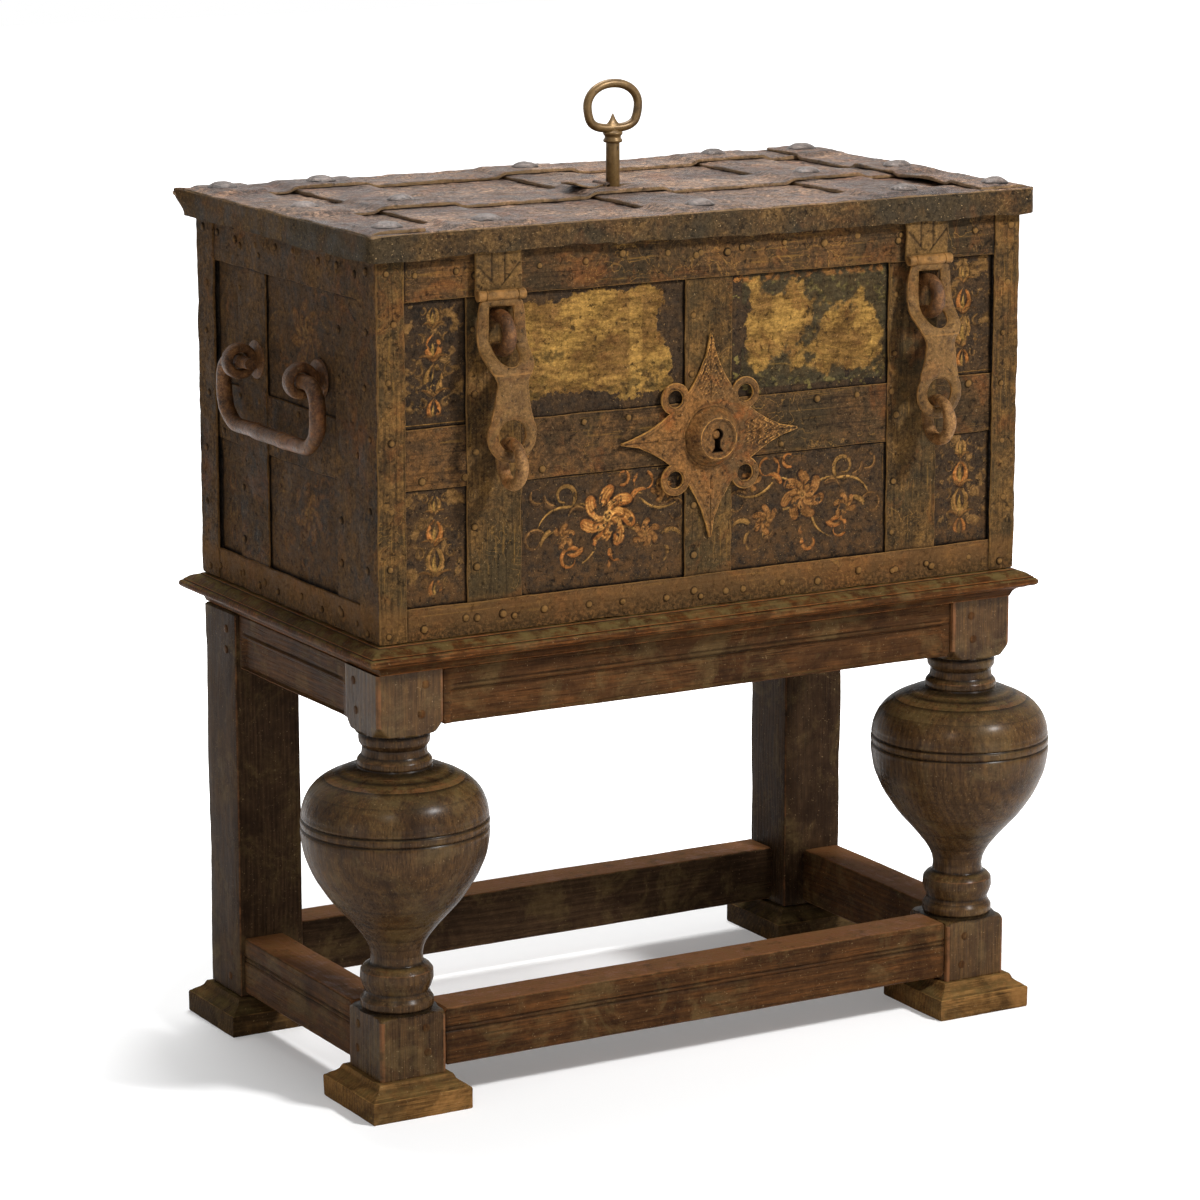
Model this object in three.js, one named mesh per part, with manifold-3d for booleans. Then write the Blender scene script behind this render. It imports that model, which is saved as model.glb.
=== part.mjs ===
import * as THREE from 'three';
import { mergeVertices } from 'three/addons/utils/BufferGeometryUtils.js';
import Module from 'manifold-3d';

// An iron strongbox with straps, hasps and a lid lock, standing on an oak stand.
// Millimetres, +X to the right of someone facing the front, +Y to the back, +Z up, floor at z = 0.

const wasm = await Module();
wasm.setup();

// Driving dimensions of the chest
const chestWidth = 760;
const chestDepth = 410;
const chestHeight = 385;
const plateThickness = 4;
const strapThickness = 4;

// Driving dimensions of the lid
const lidOverhang = 15;
const lidDepth = 23;
const lidPlate = 5;
const lidRimWall = 4;

// Driving dimensions of the stand
const standHeight = 493;
const frameWidth = 768;
const frameDepth = 408;
const blockSide = 75;
const footSide = 114;
const footHeight = 36.5;
const lowBlockHeight = 67;
const highBlockHeight = 66;
const boardThickness = 31;
const boardOverhang = 23.4;

// Clearances
const restGap = 0.3;
const overrun = 5;
const weld = 0.001;

// Facets
const turnedSides = 24;
const roundSides = 20;
const barSides = 8;
const domeSides = 14;
const bailSteps = 44;
const loopSteps = 18;
const ringSteps = 22;
const arcSteps = 10;

// Turned front legs: radius as a share of the bulb's radius, height as a share of the turned length
const bulbRadius = 97;
const legProfileShares = [
  [0.37, 0], [0.39, 0.014], [0.39, 0.034], [0.355, 0.052], [0.34, 0.065], [0.365, 0.084],
  [0.39, 0.11], [0.385, 0.14], [0.345, 0.156], [0.285, 0.165], [0.275, 0.195], [0.29, 0.225],
  [0.345, 0.262], [0.5, 0.325], [0.7, 0.398], [0.87, 0.485], [0.965, 0.56], [1, 0.63],
  [0.998, 0.652], [0.972, 0.658], [0.998, 0.665], [0.998, 0.684], [0.972, 0.69], [0.995, 0.697],
  [0.97, 0.737], [0.88, 0.785], [0.735, 0.826], [0.52, 0.856], [0.385, 0.869], [0.4, 0.884],
  [0.395, 0.9], [0.35, 0.918], [0.34, 0.944], [0.375, 0.962], [0.38, 0.982], [0.36, 1],
];
const blockCornerRound = 9;
const blockTopRadius = 43;

// Moulded edges: how far out as a share of the overhang, how high as a share of the thickness
const boardProfileShares = [
  [0, 0], [0.1, 0.1], [0.28, 0.3], [0.62, 0.4], [0.9, 0.46], [1, 0.54],
  [1, 0.68], [0.8, 0.74], [0.74, 0.82], [0.5, 0.9], [0.22, 0.95], [0.18, 1],
];
const footProfileShares = [
  [1, 0], [1, 0.62], [0.86, 0.66], [0.66, 0.74], [0.38, 0.84], [0.3, 0.94], [0.22, 1],
];

// Aprons and stretchers
const railSetBack = 4;
const apronHeight = 59;
const apronThickness = 28;
const stretcherHeight = 61;
const stretcherThickness = 46;
const grooveDepth = 1.8;
const grooveBandShares = [[0.34, 0.4], [0.58, 0.64]];

// Straps riveted on the walls
const cornerStrap = 28;
const sideCornerStrap = 38;
const haspStrap = 62;
const haspStrapPlace = 251;
const centreStrap = 56;
const bottomRail = 34;
const middleRailBottom = 153;
const middleRail = 62;
const topRail = 42;
const frontSideStrap = 56;
const rearSideStrap = 66;
const rearSideStrapPlace = 82;
const lipWidth = 22;
const lipThickness = 4;

// Star escutcheon on the front
const starThickness = 3;
const starHeight = 179;
const starTall = 110;
const starWide = 104;
const starWaist = 52;
const starShoulder = 24;
const lugPlace = 42;
const lugRadius = 16.5;
const lugHoleRadius = 9;
const bossRadius = 29;
const bossHeight = 13;
const bossProfileShares = [
  [1, 0], [0.97, 0.25], [0.83, 0.62], [0.68, 0.94], [0.62, 1], [0.52, 1], [0.48, 0.9], [0, 0.9],
];
const falseKeyholeRadius = 4.5;
const falseKeyholeSlot = 3.4;
const falseKeyholeDrop = 13;

// Staples that the hasps hang over
const loopReach = 15;
const loopOuter = 24;
const loopBar = 7.2;
const loopDrop = 38.5;

// Hasps: the hinge plate from the lid, the hasp with its slot and hole, the ring
const leftHaspPlace = -250;
const rightHaspPlace = 261;
const haspPlateWidth = 52;
const haspPlateThickness = 4;
const haspThickness = 5;
const haspBarrelRadius = 5;
const haspBarrelWidth = 58;
const haspBarrelDrop = 40;
const haspBarrelOut = 14.5;
const haspKnuckleWidth = 35;
const haspPinRadius = 2.4;
const haspPinPlay = 0.4;
const haspShoulder = 6.5;
const haspKneeOut = 38;
const haspTailOut = 36;
const haspBendDrop = 41;
const haspBendOut = 19.5;
const haspBendMid = 54;
const haspSlotTop = 11;
const haspSlotBottom = 68.5;
const haspSlotWidth = 28;
const haspTailRadius = 28;
const haspHoleDrop = 138;
const haspHoleRadius = 15.5;
const haspOutlineShares = [
  [0.93, 0.045], [1, 0.1], [1, 0.27], [0.93, 0.37], [0.6, 0.5], [0.55, 0.53], [0.64, 0.62], [0.8, 0.75],
  [0.9, 0.87],
];
const haspHalfWidth = 30;
const ringBar = 6.5;
const ringInner = 14.4;
const ringHang = 7;

// Bail handles on the ends
const bailHeight = 250;
const bailOut = 20;
const bailBar = 8;
const bailHalfWidth = 110;
const bailDrop = 68;
const bailShoulderRound = 22;
const bailGripRound = 34;
const bailEnd = 46;
const eyePlace = 72;
const eyeRadius = 19;
const eyeThickness = 13;
const eyePlay = 0.7;
const eyeShank = 20;

// Strap hinges at the back
const hingePivotBehindLid = 10;
const hingeKnuckleRadius = 8;
const hingePinRadius = 4;
const hingePinPlay = 0.4;
const hingeWidth = 60;
const hingeCentreKnuckle = 28;
const hingeSideGap = 0.5;
const leafLength = 124;
const leafArmHeight = 22;
const leafArmDrop = 11;
const leafArmNeck = 4;

// Straps on the lid
const longStrapPlaces = { front: -188, middle: -8, back: 185 };
const longStrapWidths = { front: 62, middle: 74, back: 66 };
const crossStrapPlaces = [-250, 0, 245];
const crossStrapWidth = 84;
const endStrapWidth = 64;
const strapStop = 2;
const joggle = 9;
const rivetRadius = 14;
const rivetHeight = 7;
const rivetProfileShares = [[1, -0.1], [0.94, 0.3], [0.68, 0.74], [0.35, 0.95], [0, 1]];

// Key, its hole and the flap over the hole
const keyShaftRadius = 7.2;
const keyStand = 56;
const keyCollarRadius = 10;
const keyCollarHeight = 12;
const keyCollarShares = [
  [0.8, 0], [1, 0.1], [1, 0.3], [0.84, 0.4], [0.84, 0.6], [1, 0.7], [1, 0.9], [0.8, 1],
];
const keyBowHalfWidth = 34;
const keyBowHalfHeight = 28;
const keyBowBar = 3.8;
const keyCuspHeight = 14;
const keyCuspRadius = 8;
const keyCuspShares = [[1, 0], [0.45, 0.45], [0, 1]];
const keyBitReach = 21;
const keyBitThickness = 4.8;
const keyBitHeight = 7;
const keyholePlay = 1;
const flapLength = 46;
const flapWidth = 32;
const flapThickness = 2.5;
const flapRise = 4;
const flapFlatShare = 0.7;
const flapKnuckleRadius = 2.6;
const flapPinRadius = 1.2;
const flapPinPlay = 0.35;
const flapPlace = 14;
const flapKnuckleWidth = 19;
const flapEarWidth = 5;

// Lock under the lid
const boltThickness = 9;
const boltDrop = 1;
const boltSetBack = 1.5;
const boltWidth = 26;
const boltCross = 14;
const boltHeadLength = 17;
const boltHeadWidth = 26;
const sideBoltSpread = 105;
const frontBoltSpread = 200;
const wheelRadius = 35;
const wheelThickness = 10;
const wheelPinPlace = 28;
const wheelPinRadius = 3;
const wheelPinAngle = 70;
const keyTurn = 40;
const wheelPinSlack = 0.4;
const slotEndPlay = 0.7;
const lockPlateHalfWidth = 150;
const lockPlateHalfDepth = 108;
const lockPlateThickness = 4;
const lockPostSide = 14;
const guideWidth = 12;
const panWall = 5;
const panPlay = 0.6;
const panDrop = 2;

// Worked out from the sizes above
const halfWidth = chestWidth / 2;
const halfDepth = chestDepth / 2;
const lidHalfWidth = halfWidth + lidOverhang;
const lidHalfDepth = halfDepth + lidOverhang;
const lidUnderside = chestHeight + lidDepth - lidPlate;
const lidTop = chestHeight + lidDepth;
const wallTop = lidUnderside - restGap;
const topRailBottom = chestHeight - topRail;
const haspBarrelHeight = chestHeight - haspBarrelDrop;
const loopHeight = haspBarrelHeight - loopDrop;
const keyShaftTop = lidTop + keyStand;
const leafArmTop = chestHeight - leafArmDrop;
const leafArmFoot = leafArmTop - leafArmHeight;
const leafBottom = leafArmTop - leafLength;
const wallHalfWidth = halfWidth - strapThickness - restGap;
const wallHalfDepth = halfDepth - strapThickness - restGap;
const innerHalfWidth = wallHalfWidth - plateThickness;
const innerHalfDepth = wallHalfDepth - plateThickness;
const lipHalfWidth = innerHalfWidth - restGap;
const lipHalfDepth = innerHalfDepth - restGap;
const hingePivotY = lidHalfDepth + hingePivotBehindLid;
const crossStrapBottom = lidTop + restGap;
const crossStrapTop = crossStrapBottom + strapThickness;
const upperStrapBottom = crossStrapTop + restGap;
const upperStrapTop = upperStrapBottom + strapThickness;
const lockY = longStrapPlaces.middle;
const frontReach = halfDepth + haspTailOut + ringInner + 2 * ringBar;
const backReach = hingePivotY + hingeKnuckleRadius;
const centreShift = (frontReach - backReach) / 2;

// Materials
function finish(color, roughness, metalness) {
  return new THREE.MeshStandardMaterial({ color, roughness, metalness });
}

const oak = finish(0x3a2418, 0.5, 0);
const footOak = finish(0x4a3520, 0.65, 0);
const paintedIron = finish(0x3b3326, 0.7, 0.5);
const strapIron = finish(0x4c4030, 0.75, 0.6);
const lidIron = finish(0x4f4640, 0.7, 0.6);
const rustIron = finish(0x6b4b30, 0.8, 0.6);
const bareIron = finish(0x45403a, 0.5, 0.9);
const keyBronze = finish(0x6a5a40, 0.4, 0.9);

// A closed three.js geometry as a solid that can be cut and joined
function solid(shape) {
  const bare = new THREE.BufferGeometry();
  bare.setAttribute('position', shape.getAttribute('position'));
  if (shape.index) bare.setIndex(shape.index);
  const merged = mergeVertices(bare, weld);
  const corners = merged.index.array;
  const faces = [];
  for (let i = 0; i < corners.length; i += 3) {
    const [a, b, c] = [corners[i], corners[i + 1], corners[i + 2]];
    if (a !== b && b !== c && c !== a) faces.push(a, b, c);
  }
  return new wasm.Manifold(new wasm.Mesh({
    numProp: 3,
    vertProperties: Float32Array.from(merged.getAttribute('position').array),
    triVerts: Uint32Array.from(faces),
  }));
}

// A solid back as a three.js geometry
function geometryOf(body) {
  const mesh = body.getMesh();
  const shape = new THREE.BufferGeometry();
  shape.setAttribute('position', new THREE.BufferAttribute(Float32Array.from(mesh.vertProperties), 3));
  shape.setIndex(new THREE.BufferAttribute(Uint32Array.from(mesh.triVerts), 1));
  shape.computeVertexNormals();
  return shape;
}

// Adds a named piece to a group
function piece(group, name, material, body, place = [0, 0, 0]) {
  const mesh = new THREE.Mesh(geometryOf(body), material);
  mesh.name = name;
  mesh.position.set(...place);
  group.add(mesh);
}

// A box between two corners
function box([x0, y0, z0], [x1, y1, z1]) {
  const shape = new THREE.BoxGeometry(x1 - x0, y1 - y0, z1 - z0);
  return solid(shape.translate((x0 + x1) / 2, (y0 + y1) / 2, (z0 + z1) / 2));
}

// A round bar between two places along an axis, with its centre line through (a, b) on the other two axes
function rod(axis, radius, from, to, [a, b] = [0, 0], sides = roundSides) {
  const shape = new THREE.CylinderGeometry(radius, radius, to - from, sides);
  const middle = (from + to) / 2;
  if (axis === 'x') return solid(shape.rotateZ(Math.PI / 2).translate(middle, a, b));
  if (axis === 'y') return solid(shape.translate(a, middle, b));
  return solid(shape.rotateX(Math.PI / 2).translate(a, b, middle));
}

// An outline given thickness along an axis: drawn in x,y for z, in x,z for y and in y,z for x
function extruded(axis, outline, from, to, curveSegments = arcSteps) {
  const depth = to - from;
  const shape = new THREE.ExtrudeGeometry(outline, { depth, bevelEnabled: false, curveSegments });
  if (axis === 'x') return solid(shape.rotateX(Math.PI / 2).rotateZ(Math.PI / 2).translate(from, 0, 0));
  if (axis === 'y') return solid(shape.rotateX(Math.PI / 2).translate(0, to, 0));
  return solid(shape.translate(0, 0, from));
}

// A closed outline through points
function outlineOf(points) {
  return new THREE.Shape(points.map(([a, b]) => new THREE.Vector2(a, b)));
}

// A rectangle as a closed outline
function rectangle(a0, b0, a1, b1) {
  return outlineOf([[a0, b0], [a1, b0], [a1, b1], [a0, b1]]);
}

// A strip of even thickness along a bent line, as a closed outline
function ribbon(line, thickness) {
  const left = [];
  const right = [];
  line.forEach(([a, b], i) => {
    const [pa, pb] = line[Math.max(i - 1, 0)];
    const [na, nb] = line[Math.min(i + 1, line.length - 1)];
    const before = new THREE.Vector2(a - pa, b - pb).normalize();
    const after = new THREE.Vector2(na - a, nb - b).normalize();
    const along = before.clone().add(after).normalize();
    const end = i === 0 ? after : before;
    const reach = thickness / 2 / along.dot(end);
    left.push([a - along.y * reach, b + along.x * reach]);
    right.unshift([a + along.y * reach, b - along.x * reach]);
  });
  return outlineOf([...left, ...right]);
}

// A round section carried along a curve
function bar(curve, radius, steps) {
  const section = new THREE.Shape();
  section.absarc(0, 0, radius, 0, 2 * Math.PI);
  const curveSegments = barSides / 2;
  return solid(new THREE.ExtrudeGeometry(section, { steps, extrudePath: curve, curveSegments }));
}

// A turned form about a standing axis, from pairs of radius share and height share
function turned(shares, radius, from, height, sides) {
  const outline = shares.map(([r, h]) => new THREE.Vector2(r * radius, from + h * height));
  if (outline[0].x > 0) outline.unshift(new THREE.Vector2(0, outline[0].y));
  if (outline.at(-1).x > 0) outline.push(new THREE.Vector2(0, outline.at(-1).y));
  return solid(new THREE.LatheGeometry(outline, sides).rotateX(Math.PI / 2));
}

// A rectangular slab whose four edges carry a moulding, from rings of half sizes
function mouldedSlab(halfX, halfY, rings) {
  const places = [];
  const faces = [];
  rings.forEach(([out, z]) => {
    const [x, y] = [halfX + out, halfY + out];
    places.push(-x, -y, z, x, -y, z, x, y, z, -x, y, z);
  });
  for (let ring = 0; ring + 1 < rings.length; ring += 1) {
    for (let side = 0; side < 4; side += 1) {
      const a = ring * 4 + side;
      const b = ring * 4 + ((side + 1) % 4);
      faces.push(a, b, b + 4, a, b + 4, a + 4);
    }
  }
  const top = (rings.length - 1) * 4;
  faces.push(0, 2, 1, 0, 3, 2, top, top + 1, top + 2, top, top + 2, top + 3);
  const shape = new THREE.BufferGeometry();
  shape.setAttribute('position', new THREE.Float32BufferAttribute(places, 3));
  shape.setIndex(faces);
  return solid(shape);
}

// A rivet's domed head that stands on a surface
function dome([x, y], z) {
  return turned(rivetProfileShares, rivetRadius, 0, rivetHeight, domeSides).translate([x, y, z]);
}

const joined = (bodies) => bodies.reduce((whole, next) => whole.add(next));
const sides = [['left', -1], ['right', 1]];
const ends = [['front', -1], ['back', 1]];

// The oak stand
const legX = (frameWidth - blockSide) / 2;
const legY = (frameDepth - blockSide) / 2;
const lowBlockTop = footHeight + lowBlockHeight;
const frameTop = standHeight - boardThickness - restGap;
const highBlockBottom = frameTop - highBlockHeight;

// A square block whose corners are turned round at one end
function cornerBlock(bottom, top, roundedTop) {
  const half = blockSide / 2;
  const full = blockSide;
  const turn = roundedTop ? top - blockCornerRound : bottom + blockCornerRound;
  const radii = roundedTop ? [full, full, blockTopRadius] : [blockTopRadius, full, full];
  const outline = [bottom, turn, top].map((z, i) => new THREE.Vector2(radii[i], z));
  outline.unshift(new THREE.Vector2(0, bottom));
  outline.push(new THREE.Vector2(0, top));
  const round = solid(new THREE.LatheGeometry(outline, turnedSides).rotateX(Math.PI / 2));
  return box([-half, -half, bottom], [half, half, top]).intersect(round);
}

function turnedLeg() {
  const low = cornerBlock(footHeight + restGap, lowBlockTop, true);
  const high = cornerBlock(highBlockBottom, frameTop, false);
  const length = highBlockBottom - lowBlockTop;
  const shaft = turned(legProfileShares, bulbRadius, lowBlockTop, length, turnedSides);
  const tenonRadius = bulbRadius * legProfileShares.at(-1)[0];
  const [from, to] = [lowBlockTop - overrun, highBlockBottom + overrun];
  const tenon = rod('z', tenonRadius, from, to, [0, 0], turnedSides);
  return joined([low, high, shaft, tenon.intersect(joined([low, high]))]);
}

// A rail with two shallow grooves along its outer face, which is at zero and faces down the first axis
function railOutline(thickness, bottom, height) {
  const face = [[0, bottom]];
  grooveBandShares.forEach(([low, high]) => {
    face.push([0, bottom + low * height], [grooveDepth, bottom + ((low + high) / 2) * height]);
    face.push([0, bottom + high * height]);
  });
  return outlineOf([...face, [0, bottom + height], [thickness, bottom + height], [thickness, bottom]]);
}

// The four rails of one level, between the corner blocks
function rails(group, name, thickness, bottom, height) {
  const outline = railOutline(thickness, bottom, height);
  const alongX = legX - blockSide / 2 - restGap;
  const alongY = legY - blockSide / 2 - restGap;
  const outX = frameWidth / 2 - railSetBack;
  const outY = frameDepth / 2 - railSetBack;
  const front = extruded('x', outline, -alongX, alongX);
  const left = extruded('y', outline, -alongY, alongY);
  const turnedRound = [0, 0, 180];
  piece(group, `${name}_front`, oak, front, [0, -outY, 0]);
  piece(group, `${name}_back`, oak, front.rotate(turnedRound), [0, outY, 0]);
  piece(group, `${name}_left`, oak, left, [-outX, 0, 0]);
  piece(group, `${name}_right`, oak, left.rotate(turnedRound), [outX, 0, 0]);
}

function makeStand() {
  const stand = new THREE.Group();
  const baseX = halfWidth;
  const baseY = halfDepth;
  const boardBottom = standHeight - boardThickness;
  const boardRings = boardProfileShares.map(([out, up]) => (
    [out * boardOverhang, boardBottom + up * boardThickness]
  ));
  piece(stand, 'stand_top', oak, mouldedSlab(baseX, baseY, boardRings));
  rails(stand, 'apron', apronThickness, frameTop - apronHeight, apronHeight);
  rails(stand, 'stretcher', stretcherThickness, lowBlockTop - stretcherHeight, stretcherHeight);
  const footRim = (footSide - blockSide) / 2;
  const footRings = footProfileShares.map(([out, up]) => [out * footRim, up * footHeight]);
  const half = blockSide / 2;
  const post = box([-half, -half, footHeight + restGap], [half, half, frameTop]);
  const leg = turnedLeg();
  for (const [end, along] of ends) {
    for (const [side, across] of sides) {
      const place = [across * legX, along * legY, 0];
      const upright = end === 'front' ? [`leg_front_${side}`, leg] : [`post_back_${side}`, post];
      piece(stand, upright[0], oak, upright[1], place);
      piece(stand, `foot_${end}_${side}`, footOak, mouldedSlab(half, half, footRings), place);
    }
  }
  return stand;
}

// The chest: walls, floor and lip
function makeWalls(chest) {
  for (const [end, along] of ends) {
    const y = [along * wallHalfDepth, along * innerHalfDepth].sort((a, b) => a - b);
    const wall = box([-wallHalfWidth, y[0], 0], [wallHalfWidth, y[1], wallTop]);
    piece(chest, `${end}_plate`, paintedIron, wall);
  }
  for (const [side, across] of sides) {
    const x = [across * wallHalfWidth, across * innerHalfWidth].sort((a, b) => a - b);
    const y = innerHalfDepth - restGap;
    piece(chest, `${side}_plate`, paintedIron, box([x[0], -y, 0], [x[1], y, wallTop]));
  }
  const floorX = innerHalfWidth - restGap;
  const floorY = innerHalfDepth - restGap;
  piece(chest, 'floor_plate', bareIron, box([-floorX, -floorY, 0], [floorX, floorY, plateThickness]));
  const lip = rectangle(-lipHalfWidth, -lipHalfDepth, lipHalfWidth, lipHalfDepth);
  const mouthX = lipHalfWidth - lipWidth;
  const mouthY = lipHalfDepth - lipWidth;
  lip.holes.push(rectangle(-mouthX, -mouthY, mouthX, mouthY));
  piece(chest, 'rim_lip', bareIron, extruded('z', lip, wallTop - lipThickness, wallTop));
}

// A lattice of straps over one wall, with a window in each bay between uprights and rails
function lattice(axis, half, uprights) {
  const sheet = extruded(axis, rectangle(-half, 0, half, wallTop), 0, strapThickness);
  const bays = [[bottomRail, middleRailBottom], [middleRailBottom + middleRail, topRailBottom]];
  const windows = [];
  for (let i = 0; i + 1 < uprights.length; i += 1) {
    bays.forEach(([low, high]) => {
      const bay = rectangle(uprights[i][1], low, uprights[i + 1][0], high);
      windows.push(extruded(axis, bay, -overrun, strapThickness + overrun));
    });
  }
  return sheet.subtract(joined(windows));
}

function makeStrapwork(chest) {
  const halfHasp = haspStrap / 2;
  const wideUprights = [
    [-halfWidth, -halfWidth + cornerStrap],
    [-haspStrapPlace - halfHasp, -haspStrapPlace + halfHasp],
    [-centreStrap / 2, centreStrap / 2],
    [haspStrapPlace - halfHasp, haspStrapPlace + halfHasp],
    [halfWidth - cornerStrap, halfWidth],
  ];
  const wide = lattice('y', halfWidth, wideUprights);
  piece(chest, 'front_strapwork', strapIron, wide, [0, -halfDepth, 0]);
  piece(chest, 'back_strapwork', strapIron, wide, [0, halfDepth - strapThickness, 0]);
  const narrowHalf = halfDepth - strapThickness - restGap;
  const narrowUprights = [
    [-narrowHalf, -halfDepth + sideCornerStrap + frontSideStrap],
    [rearSideStrapPlace - rearSideStrap / 2, rearSideStrapPlace + rearSideStrap / 2],
    [halfDepth - sideCornerStrap, narrowHalf],
  ];
  const narrow = lattice('x', narrowHalf, narrowUprights);
  piece(chest, 'left_strapwork', strapIron, narrow, [-halfWidth, 0, 0]);
  piece(chest, 'right_strapwork', strapIron, narrow, [halfWidth - strapThickness, 0, 0]);
}

// The star plate with its four pierced lugs and the domed false keyhole
function makeEscutcheon(chest) {
  const quarter = [[0, starTall], [starShoulder, starWaist], [starWaist, starShoulder]];
  const star = outlineOf([
    ...quarter,
    [starWide, 0], [starWaist, -starShoulder], [starShoulder, -starWaist],
    [0, -starTall], [-starShoulder, -starWaist], [-starWaist, -starShoulder],
    [-starWide, 0], [-starWaist, starShoulder], [-starShoulder, starWaist],
  ]);
  const parts = [extruded('y', star, -starThickness, 0)];
  const holes = [];
  for (const x of [-lugPlace, lugPlace]) {
    for (const z of [-lugPlace, lugPlace]) {
      parts.push(rod('y', lugRadius, -starThickness, 0, [x, z]));
      holes.push(rod('y', lugHoleRadius, -starThickness - overrun, overrun, [x, z]));
    }
  }
  const boss = turned(bossProfileShares, bossRadius, 0, bossHeight, turnedSides).rotate([90, 0, 0]);
  parts.push(boss.translate([0, -starThickness / 2, 0]));
  const deep = starThickness + bossHeight + overrun;
  holes.push(rod('y', falseKeyholeRadius, -deep, overrun));
  const slot = falseKeyholeSlot / 2;
  holes.push(box([-slot, -deep, -falseKeyholeDrop], [slot, overrun, 0]));
  const whole = joined(parts).subtract(joined(holes));
  piece(chest, 'escutcheon', rustIron, whole, [0, -halfDepth - restGap, starHeight]);
}

// A staple standing out from the front: two legs and a half round
function haspLoop() {
  const round = loopOuter - loopBar;
  const path = new THREE.CurvePath();
  const at = (y, z) => new THREE.Vector3(0, y, z);
  const outer = new THREE.CatmullRomCurve3(
    Array.from({ length: arcSteps + 1 }, (_, i) => {
      const angle = Math.PI * (i / arcSteps);
      return at(-loopReach - round * Math.sin(angle), round * Math.cos(angle));
    }),
  );
  path.add(new THREE.LineCurve3(at(-restGap, round), at(-loopReach, round)));
  path.add(outer);
  path.add(new THREE.LineCurve3(at(-loopReach, -round), at(-restGap, -round)));
  return bar(path, loopBar, loopSteps);
}

// An eye for the bail: a thick ring on a shank, for the left end
function handleEye() {
  const half = eyeThickness / 2;
  const ring = rod('y', eyeRadius, -half, half);
  const shank = box([0, -half, -eyeShank / 2], [bailOut - restGap, half, eyeShank / 2]);
  const hole = rod('y', bailBar + eyePlay, -half - overrun, half + overrun);
  return joined([ring, shank]).subtract(hole);
}

// A bail: two ends turned in through the eyes, two arms and a grip, hanging in the plane x = 0
function bail() {
  const at = (y, z) => new THREE.Vector3(0, y, z);
  const arc = (centreY, centreZ, radius, from, to) => new THREE.CatmullRomCurve3(
    Array.from({ length: arcSteps + 1 }, (_, i) => {
      const angle = from + (to - from) * (i / arcSteps);
      return at(centreY + radius * Math.cos(angle), centreZ + radius * Math.sin(angle));
    }),
  );
  const quarter = Math.PI / 2;
  const shoulder = bailHalfWidth - bailShoulderRound;
  const corner = bailHalfWidth - bailGripRound;
  const lowArm = -bailDrop + bailGripRound;
  const path = new THREE.CurvePath();
  path.add(new THREE.LineCurve3(at(-bailEnd, 0), at(-shoulder, 0)));
  path.add(arc(-shoulder, -bailShoulderRound, bailShoulderRound, quarter, 2 * quarter));
  path.add(new THREE.LineCurve3(at(-bailHalfWidth, -bailShoulderRound), at(-bailHalfWidth, lowArm)));
  path.add(arc(-corner, lowArm, bailGripRound, 2 * quarter, 3 * quarter));
  path.add(new THREE.LineCurve3(at(-corner, -bailDrop), at(corner, -bailDrop)));
  path.add(arc(corner, lowArm, bailGripRound, -quarter, 0));
  path.add(new THREE.LineCurve3(at(bailHalfWidth, lowArm), at(bailHalfWidth, -bailShoulderRound)));
  path.add(arc(shoulder, -bailShoulderRound, bailShoulderRound, 0, quarter));
  path.add(new THREE.LineCurve3(at(shoulder, 0), at(bailEnd, 0)));
  return bar(path, bailBar, bailSteps);
}

function makeFittings(chest) {
  const loop = haspLoop();
  piece(chest, 'hasp_loop_left', rustIron, loop, [leftHaspPlace, -halfDepth, loopHeight]);
  piece(chest, 'hasp_loop_right', rustIron, loop, [rightHaspPlace, -halfDepth, loopHeight]);
  const eye = handleEye();
  const handle = bail();
  for (const [side, across] of sides) {
    const x = across * (halfWidth + bailOut);
    const facing = across < 0 ? eye : eye.mirror([1, 0, 0]);
    for (const [end, along] of ends) {
      piece(chest, `handle_eye_${side}_${end}`, rustIron, facing, [x, along * eyePlace, bailHeight]);
    }
    piece(chest, `handle_${side}`, rustIron, handle, [x, 0, bailHeight]);
  }
}

// The fixed leaf of a hinge: a plate on the back, two arms with knuckles, and the pin
function hingeLeaf() {
  const half = hingeWidth / 2;
  const inner = hingeCentreKnuckle / 2 + hingeSideGap;
  const face = halfDepth + restGap;
  const outer = face + strapThickness;
  const plate = box([-half, face, leafBottom], [half, outer, leafArmFoot + overrun]);
  const arm = outlineOf([
    [face, leafArmFoot], [outer, leafArmFoot], [hingePivotY, chestHeight - hingeKnuckleRadius],
    [hingePivotY, chestHeight - leafArmNeck], [hingePivotY - hingeKnuckleRadius, chestHeight - leafArmNeck],
    [face, leafArmTop],
  ]);
  const centre = [hingePivotY, chestHeight];
  const parts = [plate, rod('x', hingePinRadius, -half, half, centre)];
  for (const [from, to] of [[-half, -inner], [inner, half]]) {
    parts.push(extruded('x', arm, from, to), rod('x', hingeKnuckleRadius, from, to, centre));
  }
  return joined(parts);
}

// The keyhole's cut through the lid and its straps: a round hole and a slot for the bit
function keyholeCut(from, to) {
  const round = rod('z', keyShaftRadius + keyholePlay, from, to, [0, lockY]);
  const half = keyBitThickness / 2 + keyholePlay;
  const slot = box([0, lockY - half, from], [keyBitReach + keyholePlay, lockY + half, to]);
  return round.add(slot);
}

function makeLidShell(lid) {
  const outer = box([-lidHalfWidth, -lidHalfDepth, chestHeight], [lidHalfWidth, lidHalfDepth, lidTop]);
  const x = lidHalfWidth - lidRimWall;
  const y = lidHalfDepth - lidRimWall;
  const inside = box([-x, -y, chestHeight - overrun], [x, y, lidUnderside]);
  const cut = keyholeCut(lidUnderside - overrun, lidTop + overrun);
  piece(lid, 'lid_shell', lidIron, outer.subtract(inside).subtract(cut));
}

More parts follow.
